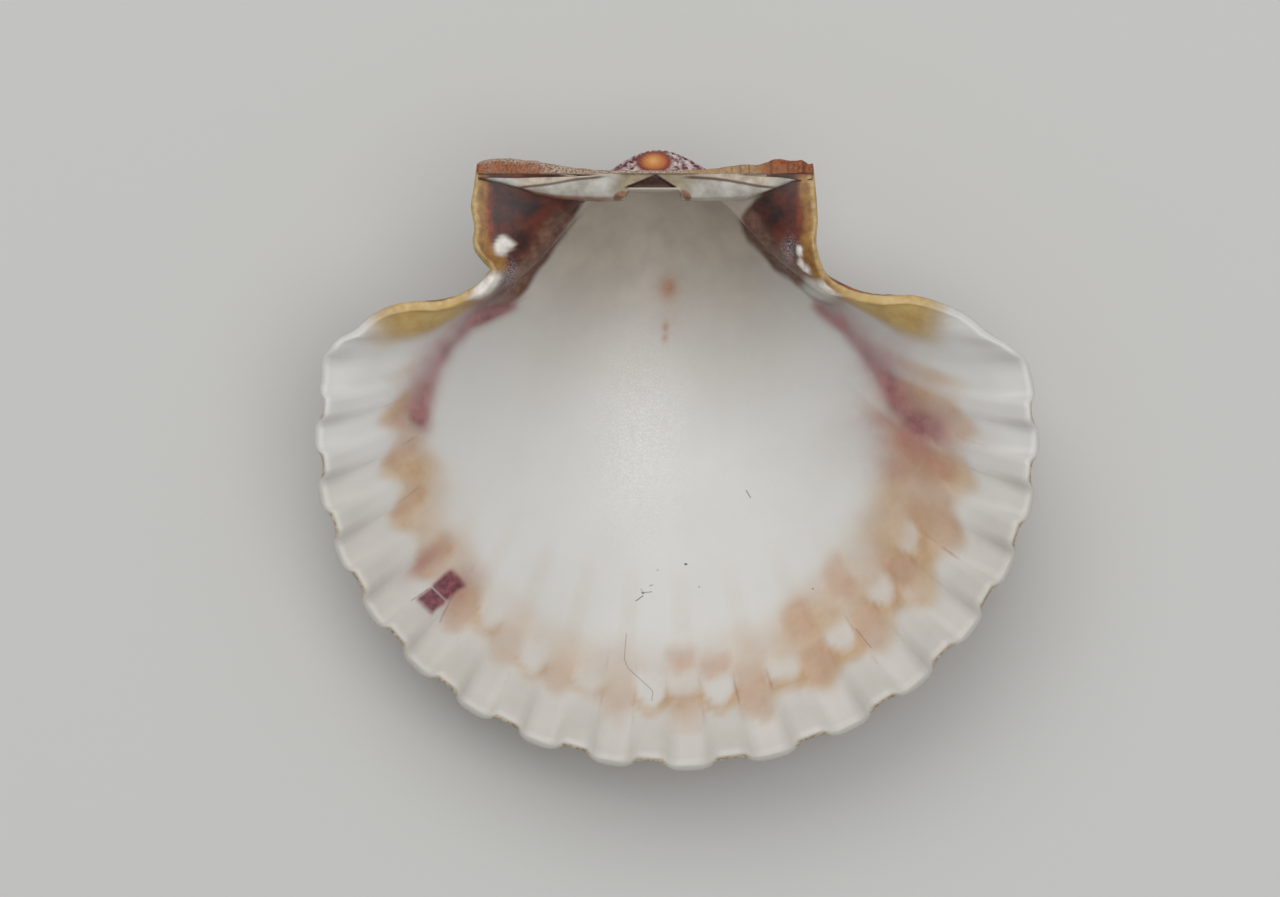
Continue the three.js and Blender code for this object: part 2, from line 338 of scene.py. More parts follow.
@dataclass(frozen=True)
class RibMark:
    """A patch of colour that keeps to one half of a rib, as the marks of a growing margin do.

    Attributes:
        rib: number of the rib in its middle. A whole number is a crest, a half the valley beside it.
        near, far: its two ends, in mm from the margin.
        strength: how strong it is.
        half_width: half its width, in ribs.
        roundness: how far its near end bends away from the margin at its sides, in mm.
    """

    rib: float
    near: float
    far: float
    strength: float
    half_width: float = 0.25
    roundness: float = 0.9

    def reach(self, rib: Array, edge: Array) -> Array:
        """Soft-edged cover, from 0 to 1, with a near end that bends away from the margin at its sides.

        It is a cubic step across the rib times one at each end along it.
        """
        across = np.abs(rib - self.rib)
        near = self.near + self.roundness * (across / self.half_width) ** 2
        cover = smooth(self.half_width + 0.1, self.half_width - 0.1, across)
        return cover * smooth(near - 0.6, near + 0.5, edge) * smooth(self.far + 1.0, self.far - 0.8, edge)

    def cup(self, rib: Array, edge: Array) -> Array:
        """Narrow rounded line, from 0 to 1, that closes the patch on the side of the margin."""
        across = np.abs(rib - self.rib)
        near = self.near + self.roundness * (across / self.half_width) ** 2
        line = np.exp(-(((edge - near + 0.75) / 0.6) ** 2))
        return line * smooth(self.half_width + 0.12, self.half_width - 0.04, across)


@dataclass(frozen=True)
class Stroke:
    """A crumb of dirt, a fine crack or a straight stretch of hair, with round ends, in the margin plane.

    Attributes:
        start, end: its two ends, in mm.
        half_width: half its thickness, in mm.
        strength: how dark it is, from 0 to 1.
    """

    start: tuple[float, float]
    end: tuple[float, float]
    half_width: float = 0.05
    strength: float = 0.7


@dataclass(frozen=True)
class Markings:
    """The colour marks inside the valve, as shares from 0 to 1 at places in the margin plane, in mm."""

    left_fold: Knots = ((-7.5, -2.9), (-8.2, -4.2), (-9.2, -5.4), (-10.3, -6.7), (-11.5, -8.6),
                        (-12.6, -10.0), (-13.8, -11.6), (-15.4, -13.0), (-17.7, -15.5),
                        (-20.2, -19.5), (-21.7, -22.5), (-22.7, -26.5))
    right_fold: Knots = ((9.8, -1.2), (8.3, -2.6), (7.8, -4.0), (8.1, -5.2), (8.9, -6.4),
                         (9.2, -6.8), (10.0, -7.8), (11.4, -9.2), (12.7, -10.2), (14.0, -11.2),
                         (15.4, -12.2), (16.7, -12.9), (19.3, -16.0), (21.3, -18.5), (22.8, -22.5),
                         (23.3, -26.5))
    left_rim: float = 0.8
    right_rim: float = 1.5
    disc_centre: tuple[float, float] = Growth.disc_centre
    disc_half: tuple[float, float] = (Growth.disc_half_width, Growth.disc_half_height)
    band_inner: Knots = ((-125, 0.8), (-100, 0.7), (-90, 0.667), (-45, 0.68), (-15, 0.66), (0, 0.64),
                         (20, 0.62), (45, 0.58), (90, 0.55), (110, 0.6), (125, 0.75))
    band_outer: Knots = ((-100, 6.5), (-60, 6.0), (-20, 5.2), (0, 5.0), (30, 4.6), (60, 4.8), (100, 6.5))
    wash: float = 0.48
    side_gain: float = 0.8
    crest_reach: float = 0.9
    cup_strength: float = 0.8
    left_streak: Knots = ((-14.8, -12.6), (-16.4, -13.3), (-19.1, -14.8), (-21.3, -16.9), (-22.6, -18.9),
                          (-23.4, -21.4), (-23.9, -23.6), (-24.4, -26.0))
    right_streak: Knots = ((16.5, -12.6), (19.7, -15.4), (22.7, -19.3), (24.6, -22.8), (27.0, -25.3))
    windows: tuple[RibMark, ...] = (
        RibMark(0.5, 6.0, 8.6, 0.8), RibMark(-0.5, 5.9, 7.9, 0.9), RibMark(0, 6.9, 9.0, 0.5),
        RibMark(-1.5, 6.3, 8.3, 0.65), RibMark(-2.5, 6.4, 9.0, 0.75), RibMark(-3.5, 7.6, 9.6, 0.6),
        RibMark(-4.5, 8.6, 10.8, 0.5), RibMark(1.5, 6.2, 8.0, 0.4), RibMark(2.5, 6.2, 8.6, 0.6),
        RibMark(3.5, 7.4, 10.0, 0.5),
    )
    blocks: tuple[RibMark, ...] = (
        RibMark(0, 9.1, 11.6, 0.6), RibMark(-0.5, 8.2, 10.6, 0.65), RibMark(-1, 3.4, 8.6, 0.6),
        RibMark(-2, 5.0, 8.4, 0.7), RibMark(-2, 9.6, 13.0, 0.65), RibMark(-3, 4.8, 9.0, 0.55),
        RibMark(-3, 10.6, 14.4, 0.6), RibMark(-4, 7.0, 10.6, 0.8), RibMark(-5, 5.0, 11.0, 0.6),
        RibMark(-5.5, 7.4, 10.0, 0.45), RibMark(-6, 7.0, 13.0, 0.65), RibMark(0, 3.0, 6.8, 0.3),
        RibMark(1, 3.6, 7.6, 0.25), RibMark(2, 5.0, 8.2, 0.3), RibMark(3, 4.8, 8.6, 0.3),
        RibMark(4, 4.6, 8.0, 0.5), RibMark(5, 5.6, 10.0, 0.65), RibMark(6.1, 5.5, 9.5, 0.6, 0.12),
        RibMark(7.1, 6.0, 11.0, 0.6, 0.12),
    )

    def ear_zone(self, x: Array, y: Array) -> Array:
        """1 on the ears' side of the fold between ear and fan, 0 on the fan's."""
        left, _ = off_line(x, y, self.left_fold)
        right, _ = off_line(x, y, self.right_fold)
        across = np.where(x < 0, -left, right)
        across = across - np.where(x < 0, 0.15, 0.85) + 0.2 * drift(x, y, 1.6, 3)
        zone = smooth(-0.35, 0.35, across) * smooth(0, 3, np.abs(x) - 5)
        return zone * smooth(-13.6, -11.0, y + 0.5 * drift(x, y, 1.5, 4)) * smooth(20.5, 17.5, np.abs(x))

    def taupe(self, x: Array, y: Array) -> Array:
        """The paler stain where the dark of the ears fades out on the fan."""
        left, along_left = off_line(x, y, self.left_fold)
        right, along_right = off_line(x, y, self.right_fold)
        near_left = np.exp(-(((left + 1.1) / 0.8) ** 2)) * smooth(0.5, 0.36, along_left)
        near_left = near_left * smooth(0.1, -0.5, left)
        near_right = 0.7 * np.exp(-(((right - 1.6) / 0.7) ** 2)) * smooth(0.52, 0.38, along_right)
        near_right = near_right * smooth(0.6, 1.2, right)
        along = np.where(x < 0, along_left, along_right)
        return np.where(x < 0, near_left, near_right) * smooth(0.02, 0.1, along)

    def rust(self, x: Array, y: Array, edge: Array) -> Array:
        """The rust-red line inside the horn-coloured strip of the ears."""
        rim = np.where(x < 0, self.left_rim, self.right_rim)
        line = np.exp(-(((edge - rim - 0.4) / 0.55) ** 2))
        return line * smooth(13.5, 15, np.abs(x)) * smooth(-10.5, -8.5, y) * smooth(-0.6, -1.6, y)

    def callus_and_glint(self, x: Array, y: Array) -> Array:
        """White thickened patches at the foot of both ears. The three small white beads at the right one
        are painted highlights on small knobs.
        """
        flame = np.maximum(
            spot(x, y, (-15.4, -7.0), (0.85, 1.2), -30), spot(x, y, (-14.8, -6.9), (0.8, 0.5), 20)
        )
        flame = flame * (1 + 0.25 * drift(x, y, 1.1, 8))
        left = np.maximum(flame, spot(x, y, (-17.0, -11.0), (2.2, 0.85), 40))
        # painted highlights: three small white beads on knobs at the right ear's foot
        glint_beads = sum(spot(x, y, place, (0.4, 0.42)) for place in ((14.2, -7.5), (14.3, -8.6), (14.9, -9.3)))
        right = np.maximum(spot(x, y, (16.4, -11.3), (2.2, 0.6), -32), glint_beads)
        return smooth(0.25, 0.75, np.maximum(left, right))

    def ochre(self, x: Array, y: Array, edge: Array) -> Array:
        """The horn-coloured strip along the ears' margins and the nearest part of the shoulders."""
        width = np.where(x < 0, self.left_rim, self.right_rim) + 0.25 * drift(x, y, 2.2, 5)
        width = width + 1.4 * spot(x, y, (-15.8, -8.3), (2.5, 1.7))
        shoulder = smooth(16, 19, np.abs(x))
        width = width + shoulder * 2.3
        reach = 1 - smooth(24.5, 30.0, np.abs(x) + 0.8 * drift(x, y, 2.5, 6))
        near = smooth(0.35, -0.35, (edge - width) / (1 + 1.5 * shoulder))
        return near * reach * smooth(-19, -14, y) * smooth(10, 13, np.abs(x))

    def rose(self, x: Array, y: Array) -> Array:
        """Rose and maroon streaks that run down the flanks from the ears."""
        left, along_left = off_line(x, y, self.left_streak)
        right, along_right = off_line(x, y, self.right_streak)
        outer_side = np.where(x < 0, -left, right)
        width = np.where(outer_side > 0, 1.7, 0.85) * (0.7 + 0.6 * np.where(x < 0, along_left, along_right))
        streak = np.exp(-((outer_side / width) ** 2)) * np.where(x < 0, 1.25, 0.9)
        streak = streak * smooth(-0.1, 0.04, np.where(x < 0, along_left, along_right))
        streak = streak * np.where(x < 0, smooth(1.05, 0.9, along_left), 1)
        zone = 0.88 * spot(x, y, (26.0, -26.3), (4.6, 3.8)) + 0.35 * spot(x, y, (23.5, -19.0), (3.0, 3.0))
        worn = 0.8 + 0.35 * drift(x, y, 2.8, 11)
        halo = 0.55 * spot(x, y, (-20.6, -41.6), (2.6, 1.9), 47)
        halo = halo + 0.6 * spot(x, y, (-23.7, -38.9), (2.3, 0.7), 42)
        return np.clip((streak + zone) * worn + halo, 0, 1)

    def tan(self, x: Array, y: Array, edge: Array, rib: Array) -> Array:
        """Tan band between the white middle and the white rim.

        A wash lies between an inner bound, a share of the fan's ellipse, and an outer bound in mm from
        the margin, and is streaked along the ribs. It goes further out on the crests than between
        them. The light windows are then taken out of it, and a line is laid under each.
        """
        share = self.ellipse_share(x, y)
        bearing = np.degrees(np.arctan2(x - self.disc_centre[0], -(y - self.disc_centre[1])))
        inner = table(self.band_inner, bearing) + 0.03 * drift(x, y, 4, 31)
        outer = table(self.band_outer, bearing) - self.crest_reach * np.cos(2 * np.pi * rib)
        band = smooth(inner - 0.06, inner + 0.1, share) * smooth(outer - 0.6, outer + 1.2, edge)
        band = band * smooth(128, 100, np.abs(bearing))
        chance = np.random.default_rng(21).random(64)
        streaks = mix(0.75, 1.2, table(tuple(enumerate(chance)), 2 * rib + 30))
        sides = 1 + self.side_gain * np.where(bearing > 0, smooth(8, 38, bearing), smooth(35, 60, -bearing))
        total = self.wash * band * sides * streaks * (0.9 + 0.3 * drift(x, y, 2.5, 47))
        rib, edge = self.waver(x, y, rib, edge)
        for mark in self.windows:
            total = total * (1 - mark.strength * mark.reach(rib, edge))
            total = total + self.cup_strength * mark.strength * mark.cup(rib, edge)
        return np.clip(total, 0, 1) * smooth(1.5, 2.5, edge) * self.fan_rim(x, y)

    def blush(self, x: Array, y: Array, edge: Array, rib: Array) -> Array:
        """Pinkish blocks and strips on the ribs, a little worn."""
        total = np.zeros_like(x)
        rib, edge = self.waver(x, y, rib, edge)
        for mark in self.blocks:
            total = np.maximum(total, mark.strength * mark.reach(rib, edge))
        return total * (0.8 + 0.35 * drift(x, y, 1.6, 53)) * self.fan_rim(x, y)

    def waver(self, x: Array, y: Array, rib: Array, edge: Array) -> tuple[Array, Array]:
        """Rib number and distance from the margin, both shifted a little by noise, so that the marks
        read from them have uneven outlines."""
        return rib + 0.06 * drift(x, y, 1.9, 83), edge + 0.55 * drift(x, y, 1.7, 87)

    def ellipse_share(self, x: Array, y: Array) -> Array:
        """How far out a point lies on the fan's ellipse: 0 in its middle, 1 on its margin."""
        dx, dy = x - self.disc_centre[0], y - self.disc_centre[1]
        return np.hypot(dx / self.disc_half[0], dy / self.disc_half[1])

    def fan_rim(self, x: Array, y: Array) -> Array:
        """1 on the outer part of the fan, 0 in its middle and towards the beak, by the share of the
        fan's ellipse that a point lies at. The middle reaches further out on the upper left."""
        share = self.ellipse_share(x, y)
        inner = 0.5 + 0.16 * smooth(-31, -26, y) * smooth(0, -6, x)
        return smooth(inner, inner + 0.12, share) * smooth(-15, -19, y)

    def spots(self, x: Array, y: Array) -> Array:
        """Small soft brown spots below the beak and one brown fleck."""
        return np.clip(
            0.78 * spot(x, y, (1.3, -10.4), (1.0, 1.2))
            + 0.7 * spot(x, y, (1.0, -14.6), (0.35, 0.6))
            + 0.6 * spot(x, y, (0.9, -15.8), (0.3, 0.35))
            + 0.14 * spot(x, y, (1.4, -12.6), (1.4, 3.4)),
            0,
            1,
        )

    def plum(self, x: Array, y: Array) -> Array:
        """Round patch where the dark plum mark lies. Its two blocks in line, parted by a thin pale line,
        are drawn within it by the inside finish.
        """
        return smooth(6.5, 5.0, np.hypot(x + 21.5, y + 41.9))


@dataclass
class ValveWall:
    """The wall of the valve: one closed sheet that folds over the margin, from beak to beak."""

    growth: Growth
    marks: Markings
    columns_per_rib: int = 12
    ear_columns: int = 26
    rows: int = 128
    row_power: float = 1.25
    lip_steps: int = 4
    relief_share: float = 0.18
    rim_relief: float = 0.55
    lip_bulge: float = 0.16
    relief_start: float = 0.8
    fold_passes: int = 40
    fold_width: float = 0.18

    def sweep_places(self) -> Array:
        """Sweep positions of the columns: even on the ears, and the same number to every rib."""
        growth = self.growth
        edge = growth.ear_share + growth.shoulder_share
        ear = np.linspace(0, growth.ear_share, self.ear_columns, endpoint=False)
        steps = growth.shoulder_ribs * self.columns_per_rib
        shoulder = np.linspace(growth.ear_share, edge, steps, endpoint=False)
        steps = (growth.left_ribs + growth.right_ribs) * self.columns_per_rib
        fan = np.linspace(edge, 1 - edge, steps + 1)
        half = np.concatenate([ear, shoulder])
        return np.concatenate([half, fan, (1 - half)[::-1]])

    def rib_wave(self, rib: Array, steepness: float) -> Array:
        """Rib profile: 1 on a crest, -1 in a groove, flatter on top as the steepness grows."""
        return np.tanh(steepness * np.cos(2 * np.pi * rib) + 0.35) / math.tanh(steepness + 0.35)

    def build(self) -> Surface:
        """Works out both faces of the wall and the rounded lip between them.

        Returns:
            The wall as a closed surface in the margin frame, in mm, with its marks.
        """
        growth = self.growth
        sweep = growth.sweep(self.sweep_places())
        t = (np.arange(1, self.rows + 1) / self.rows)[None, :] ** self.row_power
        middle = self.soften_fold(growth.outer(sweep, t), sweep, t)
        normal = upward_normals(middle)
        side = np.abs(sweep.side)[:, None]
        rib = sweep.rib[:, None]
        ribbed = sweep.ribbed[:, None]

        ear = smooth(1.02, 1.25, side)
        riblets = 0.1 * ear * np.cos(2 * np.pi * 4.5 * (side - 1)) * t
        rise = growth.rib_rise * ribbed * t * self.rib_wave(rib, 1.7) + riblets
        outside = middle - normal * (rise + self.growth_steps(t, rib))[..., None]

        thick = mix(growth.wall, growth.ear_wall, smooth(0.9, 1.1, side))
        thick = mix(thick, growth.lip, smooth(0.75, 1, t)) * (1 - np.exp(-t / 0.12))
        relief = smooth(self.relief_start, 0.95, t) * self.relief_share
        relief = relief + smooth(0.9, 1.0, t) ** 2 * self.rim_relief
        rise_in = growth.rib_rise * ribbed * t * self.rib_wave(rib, 4.5) * relief
        inside = middle + normal * (thick - rise_in)[..., None]
        plan_x, plan_y = inside[..., 0], inside[..., 1]
        inside = inside + normal * (0.3 * self.marks.callus_and_glint(plan_x, plan_y))[..., None]

        out_edge, in_edge = outside[:, -1], inside[:, -1]
        outward = middle[:, -1] - middle[:, -2]
        outward = outward / np.linalg.norm(outward, axis=1, keepdims=True)
        share = np.arange(1, self.lip_steps + 1) / (self.lip_steps + 1)
        lip = mix(out_edge[:, None], in_edge[:, None], share[None, :, None])
        lip = lip + outward[:, None] * (self.lip_bulge * np.sin(np.pi * share))[None, :, None]

        sheet = np.concatenate([outside, lip, inside[:, ::-1]], axis=1)
        columns, rings = sheet.shape[:2]
        grown = np.concatenate([t[0], np.ones(self.lip_steps), t[0, ::-1]])
        faces_in = np.concatenate([np.zeros(self.rows), share, np.ones(self.rows)])
        return self.close(sheet, sweep, grown, faces_in, columns, rings)

    def soften_fold(self, middle: Array, sweep: Sweep, t: Array) -> Array:
        """Rounds the fold between each ear and the fan, and leaves the margin as it is.

        Near the fold, every point moves to the weighted mean of itself and its two neighbours on
        either side, several times over.

        Args:
            middle: the smooth outer surface, [column, row, xyz].
            sweep: the margin at each column.
            t: the size of the young shell at each row, as a share of the full size.

        Returns:
            The surface with its folds rounded.
        """
        near = np.exp(-(((np.abs(sweep.side) - 1) / self.fold_width) ** 2))[1:-1, None, None]
        share = near * smooth(1.0, 0.8, t)[..., None]
        for _ in range(self.fold_passes):
            mean = (middle[:-2] + 2 * middle[1:-1] + middle[2:]) / 4
            middle = np.concatenate([middle[:1], mix(middle[1:-1], mean, share), middle[-1:]])
        return middle

    def growth_steps(self, t: Array, rib: Array) -> Array:
        """Low steps where growth paused: a saw-tooth of t, offset a little from rib to rib."""
        phase = 26 * t + 0.25 * np.sin(2 * np.pi * rib)
        saw = phase - np.floor(phase)
        return 0.07 * saw**3 * smooth(0.1, 0.5, t) * smooth(1.0, 0.97, t)

    def close(
        self, sheet: Array, sweep: Sweep, grown: Array, faces_in: Array, columns: int, rings: int
    ) -> Surface:
        """Joins the sheet to the beak and closes its two edges along the hinge line.

        Args:
            sheet: points of the folded sheet, [column, ring, xyz].
            sweep: the margin at each column.
            grown: t at each ring.
            faces_in: 0 for rings outside, 1 for rings inside, between them on the lip.
            columns, rings: the size of the sheet.

        Returns:
            The closed surface.
        """
        index = np.arange(columns * rings).reshape(columns, rings)
        beak = columns * rings
        grid = np.stack([index[:-1, :-1], index[1:, :-1], index[1:, 1:], index[:-1, 1:]], axis=-1)
        half = rings // 2 - 1
        down, up = np.arange(half), rings - 1 - np.arange(half)
        left = np.stack([index[0, down], index[0, down + 1], index[0, up - 1], index[0, up]], axis=-1)
        right = np.stack([index[-1, down], index[-1, up], index[-1, up - 1], index[-1, down + 1]], axis=-1)
        quads = np.concatenate([grid.reshape(-1, 4), left, right])
        pole = np.full(columns - 1, beak)
        tips = np.concatenate([
            np.stack([pole, index[1:, 0], index[:-1, 0]], axis=-1),
            np.stack([pole, index[:-1, -1], index[1:, -1]], axis=-1),
            [[beak, index[0, 0], index[0, -1]], [beak, index[-1, -1], index[-1, 0]]],
        ])
        points = np.vstack([sheet.reshape(-1, 3), [[0, 0, 0]]])
        x, y = points[:, 0], points[:, 1]
        margin = tuple(zip(sweep.x.tolist(), sweep.y.tolist()))
        edge = np.abs(off_line(x, y, margin)[0])
        rib = np.append(np.repeat(sweep.rib, rings), 0)
        inside = np.append(np.tile(faces_in, columns), 0.5)
        values = {
            "rib": rib,
            "growth": np.append(np.tile(grown, columns), 0),
            "inside": inside,
            "edge": edge,
            **mark_values(self.marks, x, y, edge, rib),
        }
        near_margin = smooth(0.76, 0.87, values["growth"])
        for key in ("ochre", "mustard", "callus_and_glint"):
            values[key] = values[key] * near_margin
        near_tip = smooth(-0.1, 0.2, y) * smooth(-6.5, -3.5, points[:, 2])
        values["tip"] = near_tip * smooth(0.35, 0.7, spot(x, y, (-0.3, 1.45), (1.6, 1.05)))
        corner = inside * smooth(-0.1, 0.3, y) * smooth(13.0, 14.0, np.abs(x))
        values["ochre"] = values["ochre"] * (1 - corner)
        values["brim"] = values["brim"] * (1 - corner)
        values["rusty"] = corner
        values["tip_ring"] = near_tip * smooth(0.3, 0.55, spot(x, y, (-0.3, 1.45), (2.0, 1.35)))
        values["tip_heart"] = near_tip * spot(x, y, (-0.4, 1.5), (0.7, 0.5))
        values["horn"] = smooth(5.0, 2.2, edge) * smooth(-21, -16, y) * smooth(12, 14.5, np.abs(x))
        values["horn"] = values["horn"] * smooth(0.86, 0.96, values["growth"])
        notch = smooth(0.1, -0.6, np.cos(2 * np.pi * rib)) * smooth(-20, -26, y)
        values["notch"] = notch * smooth(0.98, 1.0, values["growth"]) * smooth(0.9, 0.6, inside)
        values["tip_side"] = near_tip * smooth(5.5, 4.0, np.abs(x))
        values["lip"] = smooth(0.9, 1.0, inside + 0.35 * smooth(0.985, 1.0, values["growth"]))
        ring_out = np.arange(rings - 1) < self.rows - 1
        finish = np.where(ring_out, Finish.OUTSIDE.value, Finish.INSIDE.value)
        finish = np.concatenate([
            np.tile(finish, columns - 1),
            np.full(2 * half, Finish.OUTSIDE.value),
            np.full(columns - 1, Finish.OUTSIDE.value),
            np.full(columns - 1, Finish.INSIDE.value),
            [Finish.OUTSIDE.value] * 2,
        ])
        return Surface(points, quads, tips, values, finish)


def mark_values(marks: Markings, x: Array, y: Array, edge: Array, rib: Array) -> dict[str, Array]:
    """The named values that the inside finish reads at each point.

    Args:
        marks: the colour marks.
        x, y: places in the margin plane, in mm.
        edge: distance of each place from the margin, in mm.
        rib: rib number of each place.

    Returns:
        An array for each name.
    """
    callus_and_glint = marks.callus_and_glint(x, y)
    ochre = marks.ochre(x, y, edge) * (1 - callus_and_glint)
    ear = marks.ear_zone(x, y)
    in_band = smooth(4, 9, edge) * smooth(22, 14, edge)
    return {
        "ear": ear * (1 - callus_and_glint),
        "callus_and_glint": callus_and_glint,
        "ochre": ochre,
        "mustard": ochre * smooth(17.5, 20.5, np.abs(x)),
        "ray": smooth(0.1, 0.9, np.cos(2 * np.pi * rib + 0.4)) * smooth(-30, -42, y) * in_band,
        # painted shade in the rib grooves near the margin, with a brown tint
        "brown_shaded_crease": smooth(3.0, 5.5, edge) * smooth(12.0, 7.5, edge) * smooth(-21, -25, y)
        * marks.fan_rim(x, y) * smooth(-0.1, 0.6, drift(x, y, 1.9, 59)),
        "warm": smooth(9, 3, edge) * smooth(-24, -38, y),
        "plan_x": x,
        "plan_y": y,
        "rose": marks.rose(x, y) * (1 - callus_and_glint),
        "tan": marks.tan(x, y, edge, rib),
        "blush": marks.blush(x, y, edge, rib),
        "brown": marks.spots(x, y),
        "plum": marks.plum(x, y),
        "taupe": marks.taupe(x, y) * (1 - callus_and_glint) * (1 - ochre),
        "rust": marks.rust(x, y, edge) * (1 - callus_and_glint),
        "brim": ochre * smooth(0.75, 0.2, edge),
        # painted shade: grey-beige darkening towards the hinge, partly the shell's own tint
        "shade": smooth(-26, -3, y) * smooth(22, 8, np.abs(x)),
        "sparkle": 0.34 * np.maximum(
            spot(x, y, (-14.8, -9.7), (0.6, 1.2), -20), spot(x, y, (13.3, -7.4), (0.7, 1.2))
        ),
        "speck": 0.5 * spot(x, y, (-1.7, -25.0), (4.2, 9.5)),
        "frost": 0.6 * spot(x, y, (-1.7, -25.0), (3.6, 9.0)) * smooth(0.3, 0.7, cloud(x, y, 0.9, 91)),
        "tip": np.zeros_like(x),
        "lip": np.zeros_like(x),
        "stain": np.zeros_like(x),
    }


